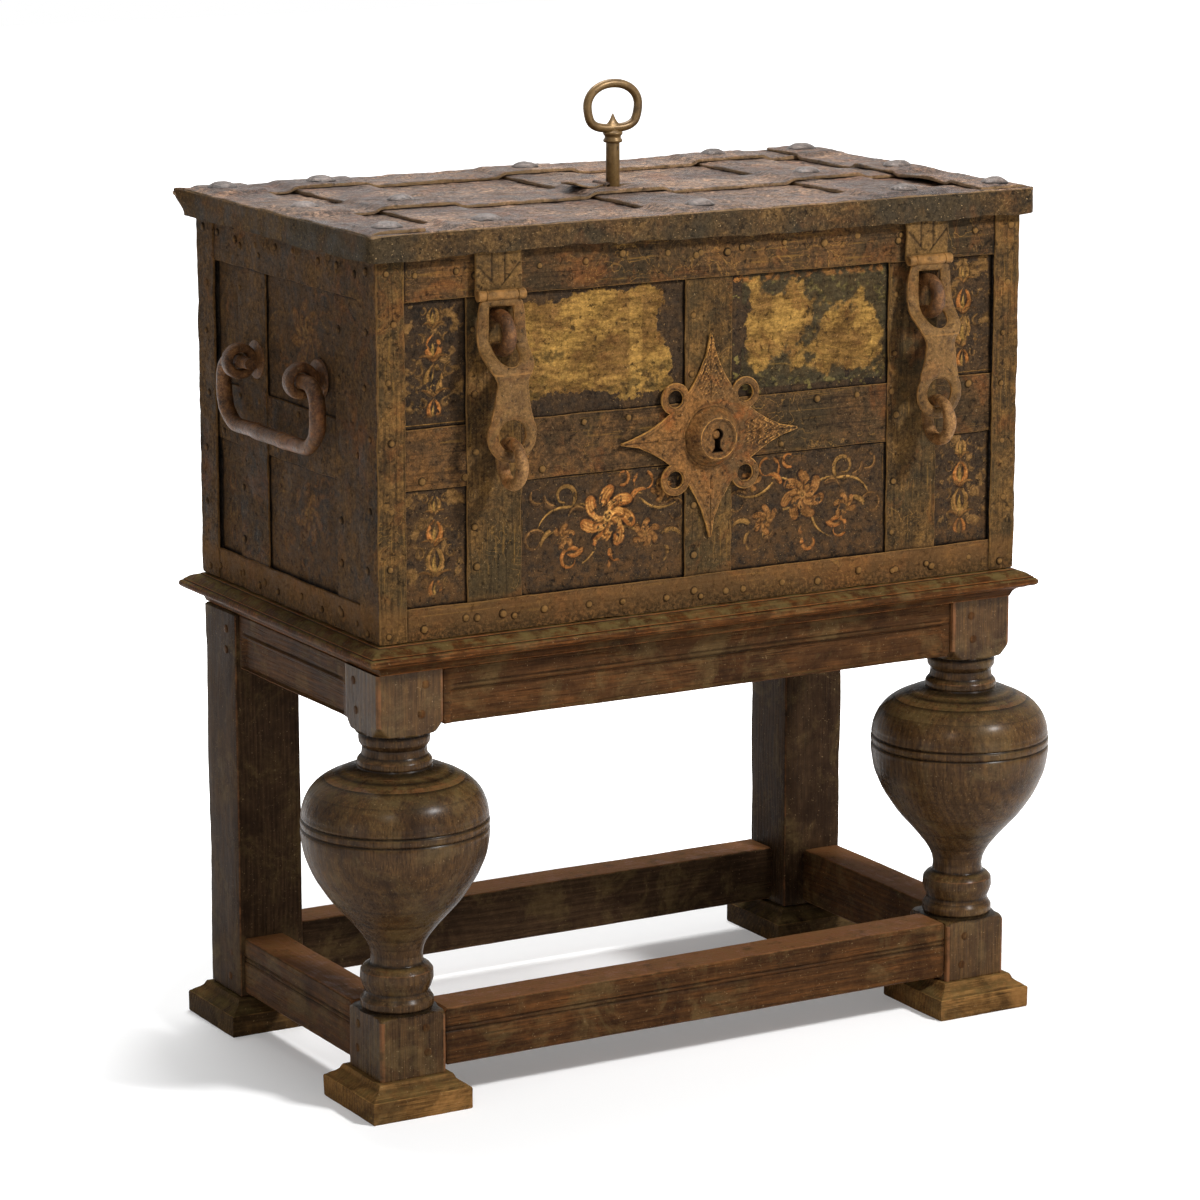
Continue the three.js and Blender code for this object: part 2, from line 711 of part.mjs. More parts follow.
// A line that runs at one level and steps up over each crossing strap
function joggledLine(from, to, crossings, low, high) {
  const line = [[from, low]];
  crossings.forEach(([start, stop]) => {
    line.push([start - joggle, low], [start, high], [stop, high], [stop + joggle, low]);
  });
  line.push([to, low]);
  return line;
}

const midCross = (crossStrapBottom + crossStrapTop) / 2;
const midUpper = (upperStrapBottom + upperStrapTop) / 2;

// A strap along the lid that steps over the cross straps
function longStrap(place, width) {
  const half = crossStrapWidth / 2 + restGap;
  const crossings = crossStrapPlaces.map((x) => [x - half, x + half]);
  const reach = lidHalfWidth - strapStop;
  const line = joggledLine(-reach, reach, crossings, midCross, midUpper);
  const strap = extruded('y', ribbon(line, strapThickness), place - width / 2, place + width / 2);
  const heads = crossStrapPlaces
    .filter((x) => x !== 0 || place !== lockY)
    .map((x) => dome([x, place], upperStrapTop));
  return joined([strap, ...heads]);
}

// A strap at one end of the lid that steps over the long straps
function endStrap(across) {
  const names = Object.keys(longStrapPlaces);
  const crossings = names.map((name) => {
    const half = longStrapWidths[name] / 2 + restGap;
    return [longStrapPlaces[name] - half, longStrapPlaces[name] + half];
  });
  const reach = lidHalfDepth - strapStop;
  crossings[0][0] = -reach;
  crossings.at(-1)[1] = reach;
  const line = joggledLine(-reach, reach, crossings, midCross, midUpper).slice(2, -2);
  const outer = lidHalfWidth - strapStop;
  const [from, to] = across < 0 ? [-outer, -outer + endStrapWidth] : [outer - endStrapWidth, outer];
  const strap = extruded('x', ribbon(line, strapThickness), from, to);
  const heads = names.map((name) => dome([(from + to) / 2, longStrapPlaces[name]], upperStrapTop));
  return joined([strap, ...heads]);
}

// A strap across the lid; a hinged one turns down behind the rim and ends in a knuckle
function crossStrap(x, hinged) {
  const half = crossStrapWidth / 2;
  const back = hinged ? lidHalfDepth + restGap : lidHalfDepth - strapStop;
  const front = -lidHalfDepth + strapStop;
  const end = hinged ? back + strapThickness : back;
  const flat = box([x - half, front, crossStrapBottom], [x + half, end, crossStrapTop]);
  if (!hinged) return flat.subtract(keyholeCut(crossStrapBottom - overrun, crossStrapTop + overrun));
  const halfHinge = hingeWidth / 2;
  const halfKnuckle = hingeCentreKnuckle / 2;
  const clearOfKnuckles = chestHeight + hingeKnuckleRadius + restGap;
  const down = box([x - halfHinge, back, clearOfKnuckles], [x + halfHinge, end, crossStrapTop]);
  const web = box([x - halfKnuckle, back, chestHeight], [x + halfKnuckle, end, crossStrapTop]);
  const centre = [hingePivotY, chestHeight];
  const knuckle = rod('x', hingeKnuckleRadius, x - halfKnuckle, x + halfKnuckle, centre);
  const bore = rod('x', hingePinRadius + hingePinPlay, x - halfHinge, x + halfHinge, centre);
  return joined([flat, down, web, knuckle]).subtract(bore);
}

function makeLidStraps(lid) {
  for (const [name, place] of Object.entries(longStrapPlaces)) {
    let strap = longStrap(place, longStrapWidths[name]);
    if (place === lockY) {
      const cut = keyholeCut(crossStrapBottom - overrun, upperStrapTop + overrun);
      strap = strap.subtract(cut).add(flapEars());
    }
    piece(lid, `long_strap_${name}`, lidIron, strap);
  }
  const names = ['left', 'middle', 'right'];
  crossStrapPlaces.forEach((x, i) => {
    piece(lid, `cross_strap_${names[i]}`, lidIron, crossStrap(x, x !== 0));
  });
  for (const [side, across] of sides) piece(lid, `end_strap_${side}`, lidIron, endStrap(across));
}

// The flap over the keyhole, lying open to the left of the key, and the ears and pin that carry it
const flapHingeX = -flapPlace;
const flapHingeZ = upperStrapTop + flapKnuckleRadius + restGap;

function flapEars() {
  const half = flapKnuckleWidth / 2 + restGap;
  const r = flapKnuckleRadius;
  const centre = [flapHingeX, flapHingeZ];
  const parts = [rod('y', flapPinRadius, lockY - half - flapEarWidth, lockY + half + flapEarWidth, centre)];
  for (const from of [lockY - half - flapEarWidth, lockY + half]) {
    const to = from + flapEarWidth;
    parts.push(rod('y', r, from, to, centre));
    parts.push(box([flapHingeX - r, from, upperStrapBottom], [flapHingeX + r, to, flapHingeZ]));
  }
  return joined(parts);
}

function makeFlap(lid) {
  const half = flapKnuckleWidth / 2;
  const bottom = flapHingeZ - flapKnuckleRadius;
  const low = bottom + flapThickness / 2;
  const line = [
    [flapHingeX, low],
    [flapHingeX - flapLength * flapFlatShare, low],
    [flapHingeX - flapLength, low + flapRise],
  ];
  const sheet = extruded('y', ribbon(line, flapThickness), lockY - flapWidth / 2, lockY + flapWidth / 2);
  const plan = new THREE.Shape();
  const round = flapWidth / 2;
  const left = flapHingeX - flapLength + round;
  const neck = flapHingeX - flapKnuckleRadius - restGap;
  plan.moveTo(flapHingeX, lockY - half);
  plan.lineTo(flapHingeX, lockY + half);
  plan.lineTo(neck, lockY + half);
  plan.lineTo(left, lockY + round);
  plan.absarc(left, lockY, round, Math.PI / 2, 3 * Math.PI / 2, false);
  plan.lineTo(neck, lockY - half);
  const trimmed = sheet.intersect(extruded('z', plan, bottom - overrun, flapHingeZ + flapRise + overrun));
  const knuckle = rod('y', flapKnuckleRadius, lockY - half, lockY + half, [flapHingeX, flapHingeZ]);
  const boreRadius = flapPinRadius + flapPinPlay;
  const bore = rod('y', boreRadius, lockY - flapWidth, lockY + flapWidth, [flapHingeX, flapHingeZ]);
  piece(lid, 'keyhole_cover', lidIron, trimmed.add(knuckle).subtract(bore));
}

// The plate that hangs from the lid and carries a hasp: plate, two knuckles and the pin
function haspPlate() {
  const half = haspPlateWidth / 2;
  const halfBarrel = haspBarrelWidth / 2;
  const inner = haspKnuckleWidth / 2 + hingeSideGap;
  const back = -lidOverhang + lidRimWall + restGap;
  const plate = box([-half, back, haspBarrelHeight], [half, back + haspPlateThickness, wallTop]);
  const centre = [-haspBarrelOut, haspBarrelHeight];
  const notch = rod('x', haspBarrelRadius + hingeSideGap, -inner, inner, centre);
  const pin = rod('x', haspPinRadius, -halfBarrel, halfBarrel, centre);
  const parts = [plate.subtract(notch), pin];
  for (const [from, to] of [[-halfBarrel, -inner], [inner, halfBarrel]]) {
    parts.push(rod('x', haspBarrelRadius, from, to, centre));
  }
  return joined(parts);
}

// The hasp: a strip bent outwards below its slot, cut to its front outline, with a knuckle at the top
function hasp() {
  const halfKnuckle = haspKnuckleWidth / 2;
  const bottom = haspHoleDrop + haspTailRadius;
  const outline = new THREE.Shape();
  const right = haspOutlineShares.map(([wide, down]) => [wide * haspHalfWidth, -down * bottom]);
  right[0][1] = -haspShoulder;
  outline.moveTo(-halfKnuckle, 0);
  outline.lineTo(-halfKnuckle, -haspShoulder);
  right.forEach(([x, z]) => outline.lineTo(-x, z));
  const spread = Math.PI / 12;
  outline.absarc(0, -haspHoleDrop, haspTailRadius, Math.PI - spread, 2 * Math.PI + spread, false);
  right.toReversed().forEach(([x, z]) => outline.lineTo(x, z));
  outline.lineTo(halfKnuckle, -haspShoulder);
  outline.lineTo(halfKnuckle, 0);
  const slot = new THREE.Path();
  const halfSlot = haspSlotWidth / 2;
  slot.moveTo(-halfSlot, -haspSlotTop);
  slot.lineTo(-halfSlot, -haspSlotBottom + halfSlot);
  slot.absarc(0, -haspSlotBottom + halfSlot, halfSlot, Math.PI, 2 * Math.PI, false);
  slot.lineTo(halfSlot, -haspSlotTop);
  const hole = new THREE.Path();
  hole.absarc(0, -haspHoleDrop, haspHoleRadius, 0, 2 * Math.PI, false);
  outline.holes.push(slot, hole);
  const front = extruded('y', outline, -haspKneeOut - haspHalfWidth, haspHalfWidth);
  const line = [
    [-haspBarrelOut, 0], [-haspBarrelOut, -haspBendDrop], [-haspBendOut, -haspBendMid],
    [-haspKneeOut, -haspSlotBottom], [-haspTailOut, -haspHoleDrop], [-haspTailOut, -bottom - overrun],
  ];
  const cutHalf = haspHalfWidth + overrun;
  const strip = extruded('x', ribbon(line, haspThickness), -cutHalf, cutHalf);
  const centre = [-haspBarrelOut, 0];
  const knuckle = rod('x', haspBarrelRadius, -halfKnuckle, halfKnuckle, centre);
  const bore = rod('x', haspPinRadius + haspPinPlay, -haspHalfWidth, haspHalfWidth, centre);
  return front.intersect(strip).add(knuckle).subtract(bore);
}

function makeHasps(lid) {
  const plate = haspPlate();
  const strip = hasp();
  const torus = new THREE.TorusGeometry(ringInner + ringBar, ringBar, barSides, ringSteps);
  const ring = solid(torus.rotateY(Math.PI / 2));
  const rimTop = haspHoleDrop + haspHoleRadius;
  const rimBottom = haspHoleDrop + haspTailRadius;
  const ringHeight = haspBarrelHeight - (rimTop + rimBottom) / 2 - ringHang;
  for (const [side, x] of [['left', leftHaspPlace], ['right', rightHaspPlace]]) {
    piece(lid, `hasp_plate_${side}`, strapIron, plate, [x, -halfDepth, 0]);
    piece(lid, `hasp_${side}`, rustIron, strip, [x, -halfDepth, haspBarrelHeight]);
    piece(lid, `pull_ring_${side}`, rustIron, ring, [x, -halfDepth - haspTailOut, ringHeight]);
  }
}

// Levels of the lock, from the lip down
const boltTop = wallTop - lipThickness - boltDrop;
const boltBottom = boltTop - boltThickness;
const wheelTop = boltBottom - restGap;
const wheelBottom = wheelTop - wheelThickness;
const lockPlateTop = wheelBottom - restGap;
const keyBottom = wheelBottom + restGap;
const boltSide = keyShaftRadius + keyholePlay;
const boltInnerEnd = keyBitThickness / 2 + keyholePlay + restGap;
const radians = Math.PI / 180;

function makeKey(lid) {
  const shaft = rod('z', keyShaftRadius, keyBottom, keyShaftTop);
  const collar = turned(keyCollarShares, keyCollarRadius, keyShaftTop, keyCollarHeight, roundSides);
  const bowWidth = keyBowHalfWidth - keyBowBar;
  const flatten = (keyBowHalfHeight - keyBowBar) / bowWidth;
  const ring = new THREE.TorusGeometry(bowWidth, keyBowBar, barSides, ringSteps);
  const bowCentre = keyShaftTop + keyCollarHeight + keyBowHalfHeight - keyBowBar;
  const bow = solid(ring.scale(1, flatten, 1).rotateX(Math.PI / 2).translate(0, 0, bowCentre));
  const cuspBottom = keyShaftTop + keyCollarHeight - keyBowBar;
  const cusp = turned(keyCuspShares, keyCuspRadius, cuspBottom, keyCuspHeight, barSides);
  const half = keyBitThickness / 2;
  const bitBottom = keyBottom + restGap;
  const bit = box([0, -half, bitBottom], [keyBitReach, half, bitBottom + keyBitHeight]);
  piece(lid, 'key', keyBronze, joined([shaft, collar, bow, cusp, bit]), [0, lockY, 0]);
}

// The wheel that the key turns, with a pin standing up for each bolt
function makeWheel(lid) {
  const disc = rod('z', wheelRadius, wheelBottom, wheelTop, [0, lockY], turnedSides);
  const pins = [0, -90, 180].map((turn) => {
    const angle = (wheelPinAngle + turn) * radians;
    const place = [wheelPinPlace * Math.cos(angle), lockY + wheelPinPlace * Math.sin(angle)];
    return rod('z', wheelPinRadius, wheelBottom, boltTop, place);
  });
  const cut = keyholeCut(wheelBottom - overrun, boltTop + overrun);
  piece(lid, 'lock_wheel', bareIron, joined([disc, ...pins]).subtract(cut));
}

// A bolt that runs to the right: a bar with a slot for its pin, a cross bar and heads
function bolt(reach, spread, heads) {
  const out = reach - boltHeadLength;
  const barPart = box([boltInnerEnd, boltSide, boltBottom], [out, boltSide + boltWidth, boltTop]);
  const cross = box([out - boltCross, -spread, boltBottom], [out, spread, boltTop]);
  const half = boltHeadWidth / 2;
  const tips = heads.map((y) => box([out - boltCross, y - half, boltBottom], [reach, y + half, boltTop]));
  const rest = wheelPinAngle * radians;
  const shot = (wheelPinAngle - keyTurn) * radians;
  const middle = (rest + shot) / 2;
  const bow = wheelPinPlace * (Math.cos(middle) - (Math.cos(rest) + Math.cos(shot)) / 2);
  const centre = wheelPinPlace * Math.cos(rest) + bow / 2;
  const slotHalf = wheelPinRadius + bow / 2 + wheelPinSlack;
  const low = wheelPinPlace * Math.sin(shot) - wheelPinRadius - slotEndPlay;
  const high = wheelPinPlace * Math.sin(rest) + wheelPinRadius + slotEndPlay;
  const [from, to] = [centre - slotHalf, centre + slotHalf];
  const slot = box([from, low, boltBottom - overrun], [to, high, boltTop + overrun]);
  return joined([barPart, cross, ...tips]).subtract(slot);
}

function makeBolts(lid) {
  const reachX = lipHalfWidth - lipWidth - boltSetBack;
  const reachY = lipHalfDepth - lipWidth - boltSetBack + lockY;
  const sideEnd = sideBoltSpread + boltHeadWidth / 2;
  const side = bolt(reachX, sideEnd, [-sideBoltSpread, sideBoltSpread]);
  piece(lid, 'bolt_right', bareIron, side, [0, lockY, 0]);
  piece(lid, 'bolt_left', bareIron, side.rotate([0, 0, 180]), [0, lockY, 0]);
  const frontEnd = frontBoltSpread + boltHeadWidth / 2;
  const front = bolt(reachY, frontEnd, [-frontBoltSpread, 0, frontBoltSpread]);
  piece(lid, 'bolt_front', bareIron, front.rotate([0, 0, -90]), [0, lockY, 0]);
}

// The plate under the lock: posts up to the lid, guides under the bolts and a pan round the wheel
function makeLockPlate(lid) {
  const x = lockPlateHalfWidth;
  const y = lockPlateHalfDepth;
  const bottom = lockPlateTop - lockPlateThickness;
  const parts = [box([-x, -y, bottom], [x, y, lockPlateTop])];
  for (const px of [-x, x - lockPostSide]) {
    for (const py of [-y, y - lockPostSide]) {
      parts.push(box([px, py, bottom], [px + lockPostSide, py + lockPostSide, wallTop]));
    }
  }
  const panRadius = wheelRadius + panPlay;
  const pan = rod('z', panRadius + panWall, bottom, wheelTop - panDrop, [0, lockY], turnedSides);
  parts.push(pan.subtract(rod('z', panRadius, lockPlateTop, wheelTop, [0, lockY], turnedSides)));
  const guideTop = boltBottom - restGap;
  const near = boltSide;
  const far = boltSide + boltWidth;
  parts.push(box([x - guideWidth, near, bottom], [x, far, guideTop]).translate([0, lockY, 0]));
  parts.push(box([-x, -far, bottom], [-x + guideWidth, -near, guideTop]).translate([0, lockY, 0]));
  parts.push(box([near, -y, bottom], [far, -y + guideWidth, guideTop]));
  piece(lid, 'lock_plate', bareIron, joined(parts));
}

function makeHinges(chest) {
  const leaf = hingeLeaf();
  piece(chest, 'hinge_leaf_left', strapIron, leaf, [crossStrapPlaces[0], 0, 0]);
  piece(chest, 'hinge_leaf_right', strapIron, leaf, [crossStrapPlaces[2], 0, 0]);
}

const stand = makeStand();
const strongbox = new THREE.Group();
strongbox.position.z = standHeight + restGap;
const chest = new THREE.Group();
const lid = new THREE.Group();
strongbox.add(chest, lid);

makeWalls(chest);
makeStrapwork(chest);
makeEscutcheon(chest);
makeFittings(chest);
makeHinges(chest);
makeLidShell(lid);
makeLidStraps(lid);
makeFlap(lid);
makeHasps(lid);
makeKey(lid);
makeWheel(lid);
makeBolts(lid);
makeLockPlate(lid);

const whole = new THREE.Group();
whole.position.y = centreShift;
whole.add(stand, strongbox);

export default whole;
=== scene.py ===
"""Dresses the iron strongbox and its stand: forged straps, painted sheets, hasps, turned legs, studio."""

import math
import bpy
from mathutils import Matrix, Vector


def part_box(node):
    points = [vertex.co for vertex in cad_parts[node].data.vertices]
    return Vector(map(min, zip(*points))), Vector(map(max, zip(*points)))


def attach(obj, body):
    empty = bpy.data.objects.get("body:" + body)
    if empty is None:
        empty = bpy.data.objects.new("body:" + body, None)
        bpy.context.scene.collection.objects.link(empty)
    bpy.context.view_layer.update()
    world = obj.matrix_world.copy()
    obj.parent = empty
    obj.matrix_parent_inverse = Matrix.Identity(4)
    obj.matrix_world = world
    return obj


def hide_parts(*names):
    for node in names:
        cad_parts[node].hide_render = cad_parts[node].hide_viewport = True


bl_info = {
    "name": "Iron strongbox on an oak stand",
    "version": (1, 0, 0),
    "blender": (4, 5, 0),
    "location": "View3D > Sidebar > Strongbox",
    "description": "Builds the strongbox's forged ironwork, painted sheets, oak stand and studio",
    "category": "Add Mesh",
}

import bpy
import numpy as np
from bpy.props import FloatProperty, FloatVectorProperty, PointerProperty
from bpy.types import Operator, Panel, PropertyGroup
from mathutils import Vector

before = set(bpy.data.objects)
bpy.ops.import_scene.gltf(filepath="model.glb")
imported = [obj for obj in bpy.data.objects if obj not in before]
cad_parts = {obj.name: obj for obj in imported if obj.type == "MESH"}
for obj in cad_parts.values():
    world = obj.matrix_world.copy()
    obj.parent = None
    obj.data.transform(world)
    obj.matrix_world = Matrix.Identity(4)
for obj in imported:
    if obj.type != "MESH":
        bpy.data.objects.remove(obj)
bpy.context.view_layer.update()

# Everything is drawn in millimetres and put into the mesh in metres
MM = 0.001
TURN = 2 * math.pi

# Where the chest and the stand stand in the frame
CHEST_MIDDLE = (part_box("front_plate")[0].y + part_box("back_plate")[1].y) / 2
CHEST = np.array([0.0, CHEST_MIDDLE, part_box("floor_plate")[0].z]) / MM
STAND = np.array([0.0, CHEST[1], 0.0])

# Chest
HALF_WIDTH = 380.0
HALF_DEPTH = 205.0
CHEST_HEIGHT = 385.0
BOTTOM_RAIL = 34.0
MIDDLE_RAIL = (153.0, 215.0)
TOP_RAIL = 343.0
FRONT_UPRIGHTS = ((-380, -352), (-282, -220), (-28, 28), (220, 282), (352, 380))
END_UPRIGHTS = ((-205, -111), (49, 115), (167, 205))
SHEET_OUT = -3.2

# Lid
LID_HALF_WIDTH = 395.0
LID_HALF_DEPTH = 220.0
LID_TOP = 408.0
LID_INSIDE = 403.0
LOWER_STRAP = 410.3
UPPER_STRAP = 414.6
CROSS_PLACES = (-250.0, 0.0, 245.0)
CROSS_WIDTH = 84.0
LONG_STRAPS = {"front": (-188.0, 62.0), "middle": (-8.0, 74.0), "back": (185.0, 66.0)}
END_WIDTH = 64.0
STRAP_STOP = 2.0
JOGGLE = 9.0
LID_RIVET = 14.0
LOCK_Y = -8.0

# Fittings
HASP_PLACES = {"left": -250.0, "right": 261.0}
HASP_BARREL_Z = 345.0
HASP_BARREL_OUT = 14.5


class Shape:
    """Points in millimetres, groups of faces with equal corners, and marks, numbers kept per point."""

    def __init__(self, points, *faces, **marks):
        self.points = np.asarray(points, float).reshape(-1, 3)
        self.faces = [np.asarray(group, int) for group in faces if len(group)]
        self.marks = marks

    def worn(self, edge):
        """The shape with one edge mark all over."""
        self.marks["edge"] = np.full(len(self.points), edge)
        return self


def together(shapes):
    """One shape of several: points in a row, each shape's face numbers raised by the points before it."""
    starts = np.cumsum([0] + [len(s.points) for s in shapes[:-1]])
    marks = {}
    for name in sorted({name for s in shapes for name in s.marks}):
        wide = max(np.ndim(s.marks[name]) for s in shapes if name in s.marks)
        empty = (4,) if wide == 2 else ()
        marks[name] = np.concatenate([s.marks.get(name, np.zeros((len(s.points),) + empty)) for s in shapes])
    faces = [group + start for s, start in zip(shapes, starts) for group in s.faces]
    return Shape(np.concatenate([s.points for s in shapes]), *faces, **marks)


def outward(shape):
    """The shape with its faces outwards: all turn where the sum of a . (b x c) over them is negative."""
    volume = 0.0
    for group in shape.faces:
        a = shape.points[group[:, 0]]
        for i in range(1, group.shape[1] - 1):
            b, c = shape.points[group[:, i]], shape.points[group[:, i + 1]]
            volume += np.einsum("ij,ij->i", a, np.cross(b, c)).sum()
    if volume < 0:
        shape.faces = [group[:, ::-1] for group in shape.faces]
    return shape


def mesh_piece(name, shape, material, body, slot, replaces=(), origin=CHEST, crease=40.0):
    """A finished piece: (point + origin) in metres, smooth but for edges sharper than crease degrees."""
    mesh = bpy.data.meshes.new(name)
    points = (shape.points + origin) * MM
    mesh.vertices.add(len(points))
    mesh.vertices.foreach_set("co", points.astype(np.float32).ravel())
    corners = np.concatenate([group.ravel() for group in shape.faces])
    sizes = np.concatenate([np.full(len(group), group.shape[1]) for group in shape.faces])
    mesh.loops.add(len(corners))
    mesh.loops.foreach_set("vertex_index", corners.astype(np.int32))
    mesh.polygons.add(len(sizes))
    mesh.polygons.foreach_set("loop_start", np.concatenate([[0], np.cumsum(sizes)[:-1]]).astype(np.int32))
    mesh.update(calc_edges=True)
    mesh.validate()
    mesh.polygons.foreach_set("use_smooth", np.ones(len(mesh.polygons), bool))
    mesh.set_sharp_from_angle(angle=math.radians(crease))
    for mark, values in shape.marks.items():
        values = np.asarray(values, np.float32)
        colour = values.ndim == 2
        layer = mesh.attributes.new(mark, "FLOAT_COLOR" if colour else "FLOAT", "POINT")
        layer.data.foreach_set("color" if colour else "value", values.ravel())
    mesh.materials.append(bpy.data.materials[material])
    piece = bpy.data.objects.new(name, mesh)
    bpy.context.scene.collection.objects.link(piece)
    if replaces:
        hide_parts(*replaces)
    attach(piece, body)


def grid_faces(rows, columns, close_rows=False, close_columns=False):
    """Quads between neighbours of a grid numbered by rows; a closed way joins its last line to its first."""
    number = np.arange(rows * columns).reshape(rows, columns)
    if close_rows:
        number = np.vstack([number, number[:1]])
    if close_columns:
        number = np.hstack([number, number[:, :1]])
    corners = [number[:-1, :-1], number[:-1, 1:], number[1:, 1:], number[1:, :-1]]
    return np.stack(corners, -1).reshape(-1, 4)


def fans(points, count):
    """The two fans that close the ends of rings of count; the ends' middles are the two points after."""
    total = len(points)
    ring = np.arange(count)
    after = (ring + 1) % count
    last = total - count
    ends = [np.stack([np.full(count, total), after, ring], -1),
            np.stack([np.full(count, total + 1), last + ring, last + after], -1)]
    return ends


def flat_ended(rows, count):
    """Faces of a skin of rows of count points, round which it is closed, and one flat face at each end."""
    ring = np.arange(count)
    return [grid_faces(rows, count, False, True), ring[None, ::-1], (ring + (rows - 1) * count)[None]]


def ease(share):
    """An S-shaped rise from 0 to 1: 3 s^2 - 2 s^3."""
    share = np.clip(share, 0, 1)
    return share * share * (3 - 2 * share)


def ridge(value, place, width):
    """A bell-shaped ridge: exp(-((value - place) / width)^2)."""
    return np.exp(-((value - place) / width) ** 2)


def ripple(points, seed, length, height):
    """Unevenness of hand work: the sum of sine waves of seeded heading, length and phase over root count."""
    points = np.asarray(points, float)
    waves = 9
    draw = np.random.default_rng(seed)
    heading = draw.normal(size=(waves, points.shape[-1]))
    heading /= np.linalg.norm(heading, axis=1, keepdims=True)
    rate = TURN / (length * draw.uniform(0.5, 1.8, waves))
    phase = draw.uniform(0, TURN, waves)
    return height * np.sin(points @ (heading * rate[:, None]).T + phase).sum(-1) / math.sqrt(waves)


def ripples(points, seed, *waves):
    """Ripples of several (length, height) added up, each with the next seed."""
    return sum(ripple(points, seed + i, *wave) for i, wave in enumerate(waves))


def clouds(points, seed, length, octaves=4):
    """Ragged patches: ripples, each with half the wavelength and 0.6 of the height of the one before."""
    return ripples(points, seed, *[(length / 2**i, 0.6**i) for i in range(octaves)])


def resampled(line, step, soften):
    """A polyline cut every millimetre, averaged over soften millimetres, and cut again at step."""
    line = np.asarray(line, float)

    def cut(line, gap):
        run = np.concatenate([[0], np.cumsum(np.linalg.norm(np.diff(line, axis=0), axis=1))])
        places = np.linspace(0, run[-1], max(int(round(run[-1] / gap)), 2) + 1)
        return np.stack([np.interp(places, run, line[:, i]) for i in range(line.shape[1])], -1)

    fine = cut(line, 1.0)
    window = int(soften) // 2
    if window > 0:
        own = np.arange(len(fine))
        reach = np.minimum(own, len(fine) - 1 - own)[:, None]
        own = own[:, None]
        index = np.clip(own + np.arange(-window, window + 1), own - reach, own + reach)
        fine = fine[index].mean(1)
    return cut(fine, step)


def carried(path, section, side, closed):
    """A section carried along a path: path + across * side + rise * up, with up = along x side.

    The ends of an open one are closed with fans.
    """
    path = np.asarray(path, float)
    along = np.roll(path, -1, 0) - np.roll(path, 1, 0) if closed else np.gradient(path, axis=0)
    along /= np.linalg.norm(along, axis=1, keepdims=True)
    side = np.broadcast_to(np.asarray(side, float), path.shape)
    side = side - (side * along).sum(1, keepdims=True) * along
    side = side / np.linalg.norm(side, axis=1, keepdims=True)
    up = np.cross(along, side)
    section = np.broadcast_to(section, (len(path),) + np.shape(section)[-2:])
    points = path[:, None] + section[..., :1] * side[:, None] + section[..., 1:] * up[:, None]
    count = points.shape[1]
    faces = [grid_faces(len(path), count, closed, True)]
    points = points.reshape(-1, 3)
    if not closed:
        faces += fans(points, count)
        points = np.vstack([points, points[:count].mean(0), points[-count:].mean(0)])
    return outward(Shape(points, *faces))


def circle(count, radius=1.0):
    """A round section, radius * (cos a, sin a), or one for each of several radii."""
    angle = np.linspace(0, TURN, count, endpoint=False)
    return np.asarray(radius, float)[..., None, None] * np.stack([np.cos(angle), np.sin(angle)], -1)


def tube(path, radius, seed, count=20, closed=False, uneven=0.3, side=(1, 0, 0)):
    """A forged bar: a round section along a path, its skin moved out and in by ripples of two lengths."""
    shape = carried(path, circle(count, radius), side, closed)
    middle = np.repeat(path, count, 0)
    if not closed:
        middle = np.vstack([middle, path[:1], path[-1:]])
    away = shape.points - middle
    size = np.maximum(np.linalg.norm(away, axis=1, keepdims=True), 1e-6)
    shift = ripples(shape.points, seed, (26, uneven), (7, uneven * 0.35))
    shape.points = shape.points + away / size * shift[:, None] * (size > 0.1)
    return shape.worn(0.0)


def turned(profile, place, axis=(0, 0, 1), count=32, start=(1, 0, 0)):
    """A turned form: each pair (radius, height) is a circle of that radius at that height along the axis."""
    profile, axis, side, place = [np.asarray(each, float) for each in (profile, axis, start, place)]
    side = side - side @ axis * axis
    side /= np.linalg.norm(side)
    across = np.cross(axis, side)
    angle = np.linspace(0, TURN, count, endpoint=False)
    wheel = np.cos(angle)[:, None] * side + np.sin(angle)[:, None] * across
    points = profile[:, :1, None] * wheel[None] + profile[:, 1:, None] * axis
    points = (points + place).reshape(-1, 3)
    faces = [grid_faces(len(profile), count, False, True)] + fans(points, count)
    points = np.vstack([points, place + profile[0, 1] * axis, place + profile[-1, 1] * axis])
    return outward(Shape(points, *faces)).worn(0.0)


